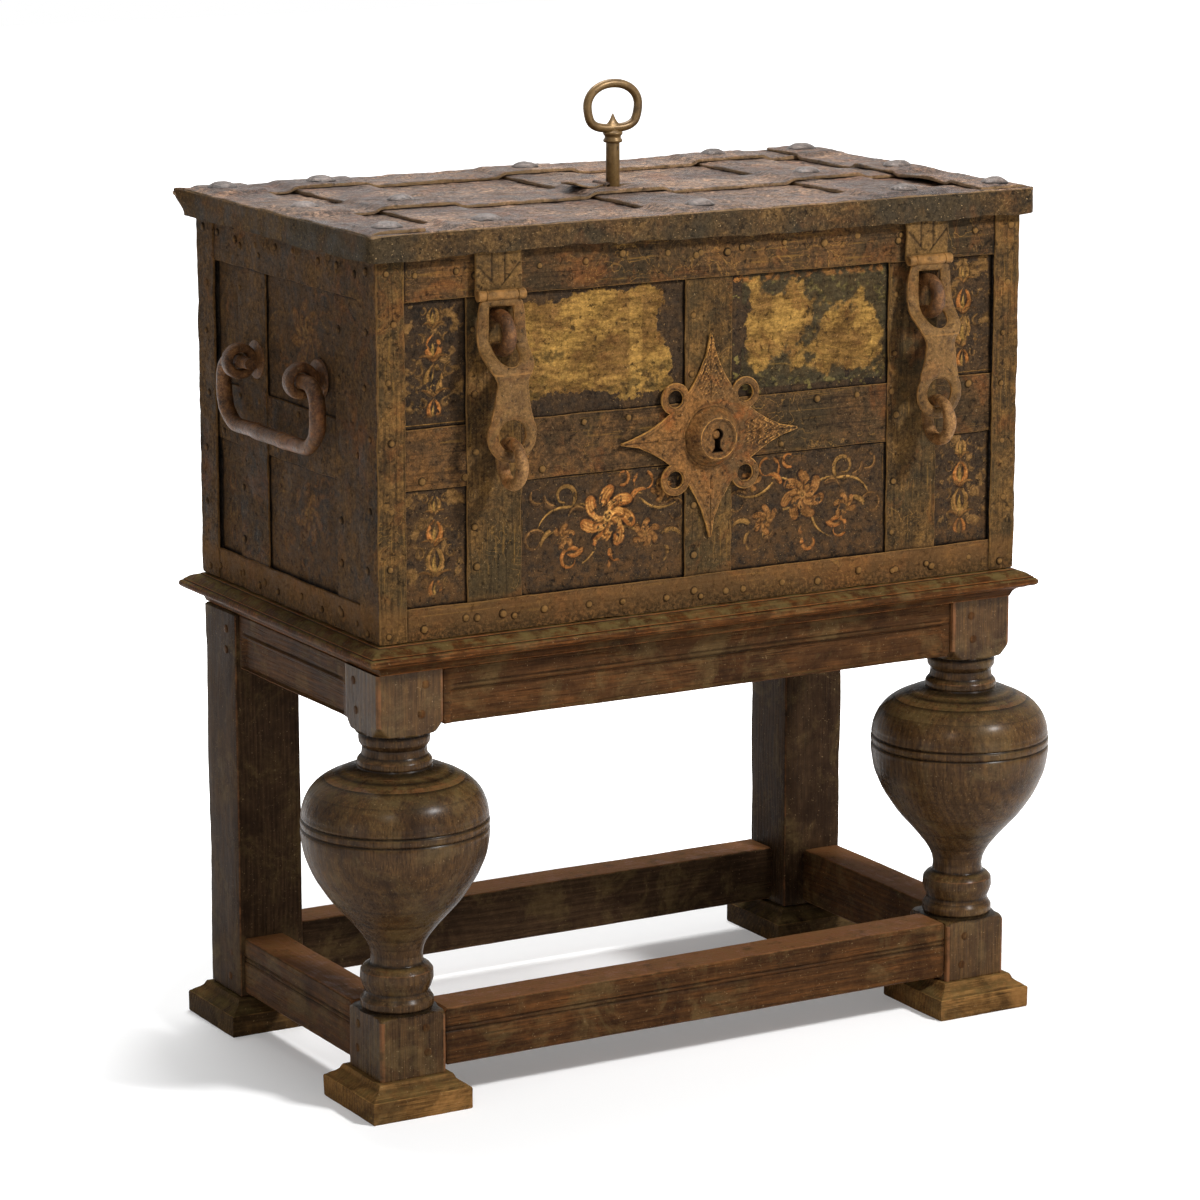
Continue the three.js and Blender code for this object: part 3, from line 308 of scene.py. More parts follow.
def plate(distance, low, high, step, thickness, place, relief, bevel=0.7, wear=2.5, nook=None):
    """A flat iron of any outline, with holes.

    distance(s, w) is negative inside. A grid over (s, w) keeps the cells whose middle lies inside, the rim of
    the kept cells is moved down the slope of distance onto the outline less the bevel, and the front and the
    back are joined by a bevelled wall. place(s, w, h) gives the place in space of height h above the middle.
    """
    steps = np.broadcast_to(step, 2)
    counts = [max(int(round((b - a) / gap)), 2) for a, b, gap in zip(low, high, steps)]
    s, w = np.meshgrid(*[np.linspace(a, b, n + 1) for a, b, n in zip(low, high, counts)], indexing="ij")
    middle_s = (s[:-1, :-1] + s[1:, 1:]) / 2
    middle_w = (w[:-1, :-1] + w[1:, 1:]) / 2
    kept = distance(middle_s, middle_w) < -bevel
    padded = np.pad(kept, 1)
    around = padded[:-1, :-1].astype(int) + padded[1:, :-1] + padded[:-1, 1:] + padded[1:, 1:]
    rim = (around > 0) & (around < 4)

    def slope(s, w):
        reach = 0.05
        down = distance(s + reach, w) - distance(s - reach, w)
        across = distance(s, w + reach) - distance(s, w - reach)
        steep = np.maximum(np.hypot(down, across), 1e-9)
        return down / steep, across / steep, steep / (2 * reach)

    rim_s, rim_w = s[rim], w[rim]
    for _ in range(5):
        down, across, steep = slope(rim_s, rim_w)
        off = (distance(rim_s, rim_w) + bevel) / np.maximum(steep, 0.3)
        off = np.clip(off, -steps.min(), steps.min())
        rim_s, rim_w = rim_s - off * down, rim_w - off * across
    s[rim], w[rim] = rim_s, rim_w
    down, across, _ = slope(rim_s, rim_w)

    number = np.arange(s.size).reshape(s.shape)
    used = np.flatnonzero(around.ravel() > 0)
    fresh = np.full(s.size, -1)
    fresh[used] = np.arange(len(used))
    cells = np.stack([number[:-1, :-1], number[1:, :-1], number[1:, 1:], number[:-1, 1:]], -1)[kept]
    front = fresh[cells]
    flat_s, flat_w = s.ravel()[used], w.ravel()[used]
    half = thickness / 2
    rise = half + relief(flat_s, flat_w)
    sheets = [place(flat_s, flat_w, rise), place(flat_s, flat_w, np.full(len(used), -half))]
    rim_number = fresh[number[rim]]
    rim_rise = half + relief(rim_s, rim_w)
    out_s, out_w = rim_s + down * bevel, rim_w + across * bevel
    walls = [place(out_s, out_w, rim_rise - bevel), place(out_s, out_w, np.full(len(rim_s), bevel - half))]
    rim_fresh = np.full(len(used), -1)
    rim_fresh[rim_number] = np.arange(len(rim_number))

    sides = []
    for a, b, beside in (
        (number[:-1, :-1], number[1:, :-1], padded[1:-1, :-2]),
        (number[1:, :-1], number[1:, 1:], padded[2:, 1:-1]),
        (number[1:, 1:], number[:-1, 1:], padded[1:-1, 2:]),
        (number[:-1, 1:], number[:-1, :-1], padded[:-2, 1:-1]),
    ):
        bare = kept & ~beside
        sides.append(np.stack([a[bare], b[bare]], -1))
    a, b = fresh[np.concatenate(sides)].T
    total, lower = len(used), len(rim_s)
    wall_a, wall_b = 2 * total + rim_fresh[a], 2 * total + rim_fresh[b]
    faces = [
        front,
        (front + total)[:, ::-1],
        np.stack([b, a, wall_a, wall_b], -1),
        np.stack([wall_b, wall_a, wall_a + lower, wall_b + lower], -1),
        np.stack([wall_b + lower, wall_a + lower, a + total, b + total], -1),
    ]
    inside = np.clip(1 + distance(flat_s, flat_w) / wear, 0, 1)
    edge = np.concatenate([inside, inside, np.ones(2 * lower)])
    # painted shade on the front face only, from the given shade function; the walls and the back get none
    shade = np.zeros(2 * total + 2 * lower)
    shade[:total] = nook(flat_s, flat_w) if nook else 0.0
    return outward(Shape(np.vstack(sheets + walls), *faces, edge=edge, nook=shade))


def moulded(half_x, half_y, rings, per_side, seed, uneven, centre=(0, 0)):
    """A slab with a moulded edge: each ring (out, z) is the rectangle of the half sizes + out at height z.

    Two flat faces close it. Where the profile bends outwards it is worn; where it bends inwards shade is
    painted in.
    """
    share = np.linspace(-1, 1, per_side, endpoint=False)
    one = np.ones(per_side)
    sides = (share, -one), (one, share), (-share, one), (-one, -share)
    square = np.concatenate([np.stack(pair, -1) for pair in sides])
    rings = np.asarray(rings, float)
    count = len(square)
    points = np.empty((len(rings), count, 3))
    points[..., :2] = square * (rings[:, None, :1] + (half_x, half_y))
    points[..., 2] = rings[:, 1:]
    points[..., :2] += square * ripples(points, seed, (90, uneven), (18, uneven * 0.4))[..., None]
    points[..., :2] += centre
    run = np.diff(rings, axis=0)
    run /= np.maximum(np.linalg.norm(run, axis=1, keepdims=True), 1e-6)
    bend = np.zeros(len(rings))
    bend[1:-1] = run[:-1, 0] * run[1:, 1] - run[:-1, 1] * run[1:, 0]
    edge = np.repeat(np.clip(bend * 1.2, 0, 1), count)
    # painted shade where the profile bends inwards
    nook = np.repeat(np.clip(-bend * 0.9, 0, 0.8), count)
    return outward(Shape(points, *flat_ended(len(rings), count), edge=edge, nook=nook))


def block(low, high, step, bevel, seed, uneven, axis=2):
    """A sawn beam: a rectangle with rounded corners carried along one axis, its skin moved by ripples."""
    low, high = np.asarray(low, float), np.asarray(high, float)
    cross = [i for i in range(3) if i != axis]
    middle = (low + high) / 2
    half = ((high - low) / 2)[cross]
    stations = np.linspace(low[axis], high[axis], max(int((high[axis] - low[axis]) / step), 2) + 1)
    starts, stops = [low[axis], low[axis] + bevel], [high[axis] - bevel, high[axis]]
    stations = np.concatenate([starts, stations[1:-1], stops])
    inset = np.zeros(len(stations))
    inset[[0, -1]] = bevel
    quarter = np.linspace(0, math.pi / 2, 4)
    ring = []
    for turn, signs in enumerate(((1, 1), (-1, 1), (-1, -1), (1, -1))):
        angle = quarter + turn * math.pi / 2
        ring.append(signs * (half - bevel) + bevel * np.stack([np.cos(angle), np.sin(angle)], -1))
    outline = []
    for i in range(4):
        outline.append(ring[i])
        start, stop = ring[i][-1], ring[(i + 1) % 4][0]
        between = max(int(np.linalg.norm(stop - start) / (step * 2)), 1)
        outline.append(start + (stop - start) * np.linspace(0, 1, between + 1)[1:-1, None])
    outline = np.concatenate(outline)
    grid = np.empty((len(stations), len(outline), 3))
    grid[..., cross] = outline * (1 - inset[:, None, None] / half) + middle[cross]
    grid[..., axis] = stations[:, None]
    away = grid - middle
    away[..., axis] = 0
    away /= np.linalg.norm(away, axis=-1, keepdims=True)
    grid += away * ripples(grid, seed, (120, uneven), (25, uneven * 0.4))[..., None]
    gap = np.abs(np.abs(outline) - half)
    edge = np.clip(1 - np.hypot(*gap.T) / 5.0, 0, 1) * (gap.min(1) < bevel + 0.1)
    edge = np.tile(edge, (len(stations), 1))
    ends = [0, 1, -2, -1]
    edge[ends] = np.maximum(edge[ends], 0.5)
    return outward(Shape(grid, *flat_ended(len(stations), len(outline)), edge=edge.ravel()))


# Materials

# Above the chest's floor, in mm: black dirt fades out over the first two heights, brown over the last two
DIRT_HEIGHTS = (0.0, 27.0, 29.0, 41.0)
WORN = (128, 94, 52)
RUBBED = (134, 98, 46)


def tint(red, green, blue):
    """A screen colour, 0 to 255, made linear: c / 12.92 up to 0.04045, above it ((c + 0.055) / 1.055)^2.4."""
    shown = np.array([red, green, blue]) / 255
    linear = np.where(shown <= 0.04045, shown / 12.92, ((shown + 0.055) / 1.055) ** 2.4)
    return (*linear.tolist(), 1.0)


class Web:
    """A node tree with short ways to add its nodes and lead their outputs on."""

    def __init__(self, tree):
        self.tree = tree

    def node(self, kind, inputs=(), **settings):
        made = self.tree.nodes.new(kind)
        for name, value in settings.items():
            setattr(made, name, value)
        for key, value in dict(inputs).items():
            self.feed(made.inputs[key], value)
        return made

    def feed(self, socket, value):
        if isinstance(value, bpy.types.NodeSocket):
            self.tree.links.new(value, socket)
        else:
            socket.default_value = value

    def maths(self, operation, first, second=0.0, clamp=False):
        made = self.node("ShaderNodeMath", {0: first, 1: second}, operation=operation, use_clamp=clamp)
        return made.outputs[0]

    def times(self, first, second, clamp=False):
        return self.maths("MULTIPLY", first, second, clamp)

    def weighed(self, *shares):
        """The sum of each value times its share."""
        total, *others = [self.times(value, share) for value, share in shares]
        for other in others:
            total = self.maths("ADD", total, other)
        return total

    def vectors(self, operation, inputs):
        return self.node("ShaderNodeVectorMath", inputs, operation=operation).outputs

    def blend(self, factor, first, second):
        return self.node("ShaderNodeMix", {0: factor, 6: first, 7: second}, data_type="RGBA").outputs[2]

    def stained(self, colour, cover, most, tone):
        """The colour under a stain: the tone lies over it by the cover times most."""
        return self.blend(self.times(cover, most), colour, tint(*tone))

    def spread(self, value, low, high, to_low=0.0, to_high=1.0):
        return self.node("ShaderNodeMapRange", {0: value, 1: low, 2: high, 3: to_low, 4: to_high}).outputs[0]

    def noise(self, vector, scale, detail, rough=0.55, twist=0.0):
        values = {"Vector": vector, "Scale": scale, "Detail": detail, "Roughness": rough, "Distortion": twist}
        return self.node("ShaderNodeTexNoise", values).outputs["Fac"]

    def patches(self, vector, noise, *limits):
        """A noise of the scale, detail, roughness and twist given, spread between its limits."""
        return self.spread(self.noise(vector, *noise), *limits)

    def streaks(self, vector, scale, detail, rough):
        """A noise drawn out: scale gives its frequency along each axis."""
        drawn = self.node("ShaderNodeMapping", {"Vector": vector, "Scale": scale}).outputs[0]
        return self.noise(drawn, 1.0, detail, rough)

    def ramp(self, value, *stops):
        made = self.node("ShaderNodeValToRGB", {0: value})
        line = made.color_ramp
        while len(line.elements) < len(stops):
            line.elements.new(0.5)
        for element, (place, colour) in zip(line.elements, stops):
            element.position = place
            element.color = colour
        return made.outputs[0]

    def mark(self, name, output="Fac"):
        return self.node("ShaderNodeAttribute", attribute_name=name).outputs[output]

    def group(self, name, **inputs):
        return self.node("ShaderNodeGroup", inputs, node_tree=bpy.data.node_groups[name]).outputs


def effect(name, inputs, outputs):
    """A new shader group with float and vector inputs and float outputs, and the web to fill it."""
    tree = bpy.data.node_groups.new(name, "ShaderNodeTree")
    for label, value in inputs.items():
        kind = "Vector" if value is None else "Float"
        socket = tree.interface.new_socket(label, in_out="INPUT", socket_type=f"NodeSocket{kind}")
        if value is not None:
            socket.default_value = value
    for label in outputs:
        tree.interface.new_socket(label, in_out="OUTPUT", socket_type="NodeSocketFloat")
    web = Web(tree)
    return web, web.node("NodeGroupInput").outputs, web.node("NodeGroupOutput").inputs


def make_patina():
    """Old iron: Broad, Mottle, Grain and Fine are ever smaller noises, Specks are peaks and Pits are dips.

    Height is 0.9 of Mottle, 1.2 of Grain and 0.4 of Fine, less 0.6 of Pits.
    """
    names = ("Broad", "Mottle", "Grain", "Fine", "Specks", "Pits", "Height")
    web, source, target = effect("Patina", {"Vector": None, "Scale": 1.0, "Seed": 0.0}, names)
    shift = web.node("ShaderNodeCombineXYZ", dict.fromkeys(range(3), source["Seed"])).outputs[0]
    moved = web.vectors("ADD", {0: source["Vector"], 1: shift})[0]
    vector = web.vectors("SCALE", {0: moved, "Scale": source["Scale"]})[0]
    broad = web.noise(vector, 8.0, 5.0, 0.6, 0.6)
    mottle = web.noise(vector, 42.0, 9.0, 0.74, 0.2)
    grain = web.noise(vector, 230.0, 6.0, 0.75)
    fine = web.noise(vector, 640.0, 4.0, 0.7)
    specks = web.patches(vector, (480.0, 3.0, 0.6), 0.66, 0.72)
    pits = web.patches(vector, (165.0, 5.0, 0.65, 0.5), 0.41, 0.33)
    grains = web.weighed((mottle, 0.9), (grain, 1.2), (fine, 0.4))
    height = web.maths("SUBTRACT", grains, web.times(pits, 0.6))
    for name, value in zip(names, (broad, mottle, grain, fine, specks, pits, height)):
        web.feed(target[name], value)


def make_edge_wear():
    """Worn arrises: the edge mark times a noise that breaks it up, spread from Reach to Reach + 0.25."""
    web, source, target = effect("Edge wear", {"Vector": None, "Scale": 60.0, "Reach": 0.5}, ["Wear"])
    broken = web.noise(source["Vector"], source["Scale"], 5.0, 0.65)
    strong = web.times(web.mark("edge"), web.maths("ADD", broken, 0.45))
    limits = {0: strong, 1: source["Reach"], 2: web.maths("ADD", source["Reach"], 0.25)}
    web.feed(target["Wear"], web.node("ShaderNodeMapRange", limits).outputs[0])


def make_oak_grain():
    """Sawn oak, its long way down Z of Vector.

    Rings is a sine of the distance from Heart, which a noise makes wander; Fibres and Pores are noises drawn
    out along the grain; Height is half of Fibres less Pores and a quarter of Rings.
    """
    names = ("Rings", "Fibres", "Pores", "Height")
    web, source, target = effect("Oak grain", {"Vector": None, "Heart": None, "Rings": 190.0}, names)
    vector = source["Vector"]
    wander = web.streaks(vector, (9.0, 9.0, 2.2), 4.0, 0.55)
    away = web.vectors("SUBTRACT", {0: vector, 1: source["Heart"]})[0]
    flat = web.vectors("MULTIPLY", {0: away, 1: (1.0, 1.0, 0.06)})[0]
    reach = web.maths("ADD", web.vectors("LENGTH", {0: flat})["Value"], web.times(wander, 0.05))
    rings = web.spread(web.maths("SINE", web.times(reach, web.times(source["Rings"], TURN))), -1.0, 1.0)
    fibres = web.streaks(vector, (430.0, 430.0, 14.0), 5.0, 0.6)
    pores = web.streaks(vector, (900.0, 900.0, 26.0), 2.0, 0.5)
    pores = web.times(web.spread(pores, 0.56, 0.7), web.spread(rings, 0.2, 0.8, 0.35, 1.0))
    height = web.maths("SUBTRACT", web.times(fibres, 0.5), pores)
    height = web.maths("ADD", height, web.times(rings, 0.25))
    for name, value in zip(names, (rings, fibres, pores, height)):
        web.feed(target[name], value)


def material(name, metallic=0.0, coat=0.0, specular=0.5):
    """A new material: returns its web of nodes, its shader and the outputs of its coordinates node."""
    made = bpy.data.materials.new(name)
    made.use_nodes = True
    made.node_tree.nodes.clear()
    web = Web(made.node_tree)
    values = {"Metallic": metallic, "Coat Weight": coat, "Specular IOR Level": specular,
              "Coat Roughness": 0.25}
    shader = web.node("ShaderNodeBsdfPrincipled", values)
    web.node("ShaderNodeOutputMaterial", {"Surface": shader.outputs[0]})
    return web, shader, web.node("ShaderNodeTexCoord").outputs


def shaded(web, colour, grain, low, high):
    """The colour times a number that follows the grain from low to high."""
    return web.vectors("SCALE", {0: colour, "Scale": web.spread(grain, 0.36, 0.64, low, high)})[0]


def three_tones(web, old, dark, body, light):
    """The tones by the patina's patches: 0.3 of Broad, 0.45 of Mottle and 0.25 of Grain choose one."""
    tone = web.weighed((old["Broad"], 0.3), (old["Mottle"], 0.45), (old["Grain"], 0.25))
    return web.ramp(tone, (0.41, dark), (0.5, body), (0.6, light))


def finished(web, shader, vector, colour, rough, height, depth, painted_shade_depth=0.94, strength=1.0):
    """Leads colour, roughness and bump to the shader; where the shade mark lies, shade is painted in, near
    black.
    """
    broken = web.patches(vector, (140.0, 3.0, 0.6), 0.3, 0.6, 0.7, 1.3)
    # painted shade: where the mark lies, a noise breaks it up and the colour goes towards near black (14, 10,
    # 7)
    amount = web.times(web.mark("nook"), broken, True)
    web.feed(shader.inputs["Base Color"], web.stained(colour, amount, painted_shade_depth, (14, 10, 7)))
    web.feed(shader.inputs["Roughness"], rough)
    values = {"Height": height, "Distance": depth, "Strength": strength}
    web.feed(shader.inputs["Normal"], web.node("ShaderNodeBump", values).outputs[0])


def iron(name, dark, body, light, rough, seed, wear_tone, reach=0.7, scale=1.0, depth=0.0014, paint=0.0,
         crisp=0.4, streaks=None, streak_tone=None, specks=0.4, orange=0.0, dirty=False, metallic=0.0,
         grey=None, worn=0.55, specular=0.04):
    """Old iron: three tones by the patina's patches, with pits, specks, streaks, rust and worn edges.

    At the foot of a dirty one black dirt fades out upwards, and just above it a warm brown.
    """
    web, shader, place = material(name, metallic=metallic, specular=specular)
    vector = place["Object"]
    old = web.group("Patina", Vector=vector, Scale=scale, Seed=seed)
    colour = three_tones(web, old, dark, body, light)
    if grey:
        colour = web.stained(colour, web.patches(vector, (7.0, 7.0, 0.7, 0.5), 0.46, 0.58), 0.8, grey)
    if orange:
        rusty = web.patches(vector, (15.0, 8.0, 0.72, 0.8), 0.53, 0.64, 0.0, orange)
        colour = web.blend(rusty, colour, tint(122, 70, 32))
    colour = shaded(web, colour, old["Grain"], 1.0 - crisp, 1.0 + crisp)
    colour = shaded(web, colour, old["Fine"], 1.0 - crisp / 2, 1.0 + crisp / 2)
    if streaks:
        lines = web.streaks(vector, streaks, 4.0, 0.65)
        bright = web.times(web.spread(lines, 0.57, 0.66), web.patches(vector, (24.0, 5.0, 0.6), 0.44, 0.56))
        colour = web.stained(colour, bright, 0.45, streak_tone)
        colour = web.stained(colour, web.spread(lines, 0.46, 0.39), 0.5, (26, 21, 15))
    if paint:
        loops = web.noise(vector, 34.0, 2.0, 0.45, 2.2)
        scroll = web.spread(web.maths("ABSOLUTE", web.maths("SUBTRACT", loops, 0.5)), 0.016, 0.004)
        scroll = web.times(scroll, web.patches(vector, (13.0, 3.0, 0.5), 0.5, 0.6))
        colour = web.stained(colour, scroll, paint, (158, 116, 58))
    colour = web.stained(colour, old["Pits"], 0.75, (26, 20, 14))
    colour = web.stained(colour, old["Specks"], specks, (176, 146, 102))
    if dirty:
        height = web.node("ShaderNodeSeparateXYZ", {0: vector}).outputs["Z"]
        ground, top, warm_low, warm_high = [(CHEST[2] + above) * MM for above in DIRT_HEIGHTS]
        colour = web.blend(web.spread(height, warm_high, warm_low, 0.0, 0.42), colour, tint(110, 76, 41))
        black = web.patches(vector, (240.0, 6.0, 0.7), 0.58, 0.46)
        colour = web.stained(colour, web.times(web.spread(height, top, ground), black), 0.8, (26, 23, 13))
    edges = web.group("Edge wear", Vector=vector, Scale=90.0, Reach=reach)["Wear"]
    colour = web.stained(colour, edges, worn, wear_tone)
    finished(web, shader, vector, colour, web.spread(old["Mottle"], 0.38, 0.64, *rough), old["Height"], depth)


def painted_sheet_iron(name, dark, body, light, seed, most=1.0):
    """Painted sheet iron: the paint mark lies on a dark ground where its cover beats a flaking noise.

    Rust and dirt lie by the dirt mark, more of them lower down.
    """
    web, shader, place = material(name, specular=0.04)
    vector = place["Object"]
    old = web.group("Patina", Vector=vector, Scale=1.0, Seed=seed)
    lines = web.spread(web.streaks(vector, (26.0, 26.0, 170.0), 5.0, 0.65), 0.47, 0.38, 0.0, 0.55)
    ground = web.blend(lines, three_tones(web, old, dark, body, light), tint(34, 30, 25))
    flaking = web.noise(vector, 300.0, 6.0, 0.75)
    cover = web.maths("SUBTRACT", web.mark("paint", "Alpha"), web.times(flaking, 0.5))
    cover = web.spread(cover, 0.0, 0.22, 0.0, most)
    shade = web.spread(web.streaks(vector, (45.0, 45.0, 150.0), 9.0, 0.75), 0.38, 0.62, 0.5, 1.4)
    painted = web.vectors("SCALE", {0: web.mark("paint", "Color"), "Scale": shade})[0]
    colour = web.blend(cover, ground, painted)
    colour = shaded(web, colour, old["Grain"], 0.65, 1.35)
    colour = shaded(web, colour, old["Fine"], 0.78, 1.22)
    dirt = web.times(web.patches(vector, (95.0, 9.0, 0.78), 0.44, 0.57), web.mark("dirt"))
    for amount, share, tone in ((dirt, 0.7, (88, 61, 35)), (old["Pits"], 0.75, (26, 20, 14)),
                               (old["Specks"], 0.5, (176, 138, 86))):
        colour = web.stained(colour, amount, share, tone)
    height = web.maths("ADD", old["Height"], web.times(cover, 0.25))
    finished(web, shader, vector, colour, web.spread(old["Mottle"], 0.38, 0.64, 0.5, 0.8), height, 0.0013)


def oak(name, lie, dark, body, light, rough=(0.36, 0.6), heart=(0.35, 0.22, 0.0), rings=190.0,
        worn=(118, 76, 46), reach=0.66, dust=0.5, bare=0.0, coat=0.0):
    """Waxed oak, lying along the axis lie: dark pores, dim and dusty patches, worn edges and pale specks.

    What faces up is dusty too.
    """
    web, shader, place = material(name, coat=coat, specular=0.02)
    vector = place["Object"]
    turn = {"x": (0.0, math.pi / 2, 0.0), "y": (math.pi / 2, 0.0, 0.0), "z": (0.0, 0.0, 0.0)}[lie]
    turned_round = web.node("ShaderNodeMapping", {"Vector": vector, "Rotation": turn}).outputs[0]
    grain = web.group("Oak grain", Vector=turned_round, Heart=heart, Rings=rings)
    cloud = web.noise(vector, 9.0, 7.0, 0.68, 0.3)
    tone = web.weighed((grain["Rings"], 0.1), (grain["Fibres"], 0.55), (cloud, 0.4))
    colour = web.ramp(tone, (0.32, dark), (0.52, body), (0.76, light))
    colour = web.stained(colour, grain["Pores"], 0.55, (20, 12, 7))
    dim = web.patches(vector, (12.0, 6.0, 0.66, 0.5), 0.5, 0.37, 0.0, 0.55)
    colour = web.blend(dim, colour, tint(32, 20, 12))
    dusty = web.patches(vector, (19.0, 8.0, 0.72, 0.6), 0.5, 0.62, 0.0, 0.42)
    colour = web.blend(dusty, colour, tint(94, 76, 47))
    colour = shaded(web, colour, web.noise(vector, 110.0, 6.0, 0.75), 0.8, 1.2)
    if bare:
        patch = web.patches(vector, (13.0, 8.0, 0.7, 0.5), 0.5, 0.62, 0.0, bare)
        colour = web.blend(patch, colour, tint(140, 100, 56))
    wear = web.group("Edge wear", Vector=vector, Scale=55.0, Reach=reach)["Wear"]
    up = web.node("ShaderNodeSeparateXYZ", {0: place["Normal"]}).outputs["Z"]
    settled = web.times(web.spread(up, 0.4, 0.9), web.patches(vector, (70.0, 8.0, 0.72), 0.42, 0.58))
    flecks = web.patches(vector, (420.0, 5.0, 0.65), 0.635, 0.7)
    layers = (wear, 0.7, worn), (settled, dust, (96, 82, 48)), (flecks, 0.55, (150, 124, 88))
    for amount, most, tone in layers:
        colour = web.stained(colour, amount, most, tone)
    gloss = web.weighed((grain["Fibres"], 0.4), (cloud, 0.6), (settled, 0.5))
    rough = web.spread(gloss, 0.38, 0.7, *rough)
    finished(web, shader, vector, colour, rough, grain["Height"], 0.0007, 0.85, 0.8)


def make_materials(look):
    """All finishes. The front straps' and the oak's middle tones are look's; the rest are given here."""
    make_patina()
    make_edge_wear()
    make_oak_grain()
    strap = (*look.strap_colour, 1.0)
    up_and_down, lengthwise = (330.0, 330.0, 11.0), (13.0, 13.0, 330.0)
    iron("front_strap_iron", tint(42, 32, 21), strap, tint(106, 73, 40), (0.55, 0.85), 0.3, WORN, paint=0.4,
         crisp=0.3, reach=0.58, streaks=lengthwise, streak_tone=RUBBED, orange=0.35, dirty=True,
         grey=(52, 43, 29))
    iron("upright_strap_iron", tint(46, 36, 23), tint(79, 58, 33), tint(110, 80, 43), (0.55, 0.85), 2.1, WORN,
         paint=0.3, crisp=0.3, reach=0.58, streaks=up_and_down, streak_tone=RUBBED, orange=0.3, dirty=True,
         grey=(58, 48, 31))
    iron("end_strap_iron", tint(38, 29, 19), tint(68, 50, 32), tint(96, 70, 42), (0.5, 0.8), 5.7,
         (112, 82, 48), orange=0.25, dirty=True, specks=0.3)
    iron("lid_top_iron", tint(50, 38, 30), tint(98, 76, 61), tint(158, 128, 104), (0.26, 0.7), 7.9,
         (150, 120, 80), streaks=(26.0, 260.0, 260.0), streak_tone=(140, 106, 78), orange=0.35,
         grey=(74, 62, 58), specular=0.2, specks=1.0, worn=0.6, depth=0.0026, crisp=0.75)
    iron("lid_rim_iron", tint(40, 31, 20), tint(70, 52, 31), tint(102, 77, 45), (0.5, 0.8), 9.3,
         (140, 106, 60), reach=0.95, orange=0.15, specks=0.8, worn=0.5, grey=(52, 44, 31), specular=0.06)
    iron("lid_rivet_iron", tint(52, 43, 38), tint(78, 66, 59), tint(108, 95, 88), (0.26, 0.5), 3.3,
         (120, 104, 92), metallic=0.2, specks=0.3, depth=0.0006, specular=0.3)
    iron("forged_iron", tint(58, 41, 23), tint(90, 65, 36), tint(114, 84, 47), (0.34, 0.54), 4.4,
         (160, 114, 62), orange=0.2, specks=0.5, depth=0.0008, specular=0.08, reach=0.72, crisp=0.25)
    iron("hasp_plate_iron", tint(58, 44, 26), tint(92, 68, 38), tint(120, 90, 50), (0.5, 0.75), 5.1,
         (146, 108, 60), orange=0.2, specks=0.5, specular=0.06, reach=0.8, crisp=0.25)
    iron("end_forged_iron", tint(46, 30, 17), tint(80, 52, 29), tint(112, 76, 43), (0.3, 0.52), 6.4,
         (142, 102, 58), orange=0.3, depth=0.0009, specular=0.14, reach=0.85)
    iron("rusty_iron", tint(74, 51, 29), tint(112, 79, 46), tint(140, 104, 62), (0.36, 0.6), 6.1,
         (160, 118, 68), orange=0.55, specks=0.45, depth=0.0008, specular=0.12)
    iron("star_iron", tint(64, 42, 22), tint(108, 73, 38), tint(140, 96, 50), (0.44, 0.7), 1.7,
         (184, 134, 70), orange=0.8, specks=0.6, depth=0.001, grey=(80, 60, 36), specular=0.06,
         worn=0.85, crisp=0.32)
    iron("bare_inner_iron", tint(34, 30, 28), tint(62, 54, 48), tint(92, 80, 70), (0.4, 0.7), 8.2,
         (120, 104, 86), metallic=0.5, specks=0.2)
    iron("lock_iron", tint(58, 54, 50), tint(96, 90, 82), tint(130, 122, 110), (0.3, 0.55), 2.9,
         (150, 140, 124), metallic=0.8, specks=0.15, depth=0.0004)
    iron("key_bronze", tint(70, 52, 30), tint(94, 72, 41), tint(116, 91, 55), (0.34, 0.42), 1.2,
         (128, 100, 62), metallic=0.4, specks=0.0, depth=0.00003, specular=0.3, crisp=0.06, scale=0.7,
         reach=1.2)
    painted_sheet_iron("front_sheet_iron", tint(32, 26, 20), tint(50, 39, 28), tint(72, 52, 31), 0.9)
    painted_sheet_iron("end_sheet_iron", tint(34, 27, 19), tint(58, 43, 29), tint(86, 62, 38), 3.9, 0.22)
    bark, heartwood, sheen = tint(40, 24, 12), (*look.oak_colour, 1.0), tint(92, 58, 29)
    # painted shade: the back posts, back rails and back feet get darker, greyer copies of the oak's tones,
    # standing in for the shade at the stand's back
    shaded_back_tones = tint(33, 22, 13), tint(54, 39, 26), tint(78, 58, 39)
    post_heart, rail_heart, foot_heart = (0.35, 0.3, 0.2), (0.3, 0.5, 0.0), (0.1, 0.4, 0.0)
    oak("upright_oak", "z", bark, heartwood, sheen, heart=post_heart)
    oak("back_post_oak", "z", *shaded_back_tones, heart=post_heart)
    oak("back_rail_oak", "x", *shaded_back_tones, heart=rail_heart, dust=0.2)
    oak("back_foot_oak", "x", tint(36, 26, 15), tint(60, 44, 26), tint(94, 72, 43), rough=(0.5, 0.75),
        heart=foot_heart, worn=(132, 98, 56), bare=0.2)
    oak("turned_oak", "z", tint(36, 24, 13), tint(66, 46, 26), tint(96, 69, 38), rough=(0.24, 0.42),
        heart=(0.0, 0.6, 0.25), rings=120.0, dust=0.35, coat=0.12)
    oak("long_oak", "x", bark, heartwood, tint(98, 61, 31), heart=rail_heart, dust=0.2)
    oak("cross_oak", "y", bark, heartwood, sheen, heart=(0.2, 0.4, 0.0), dust=0.2)
    oak("board_oak", "x", tint(38, 23, 11), tint(68, 41, 19), tint(108, 66, 33), heart=(0.1, 0.9, 0.3),
        dust=0.7, worn=(136, 80, 40), reach=0.55)
    oak("foot_oak", "x", tint(62, 42, 22), tint(100, 71, 38), tint(142, 104, 58), rough=(0.5, 0.75),
        heart=foot_heart, worn=(156, 116, 64), bare=0.7)


# Painting on the sheets

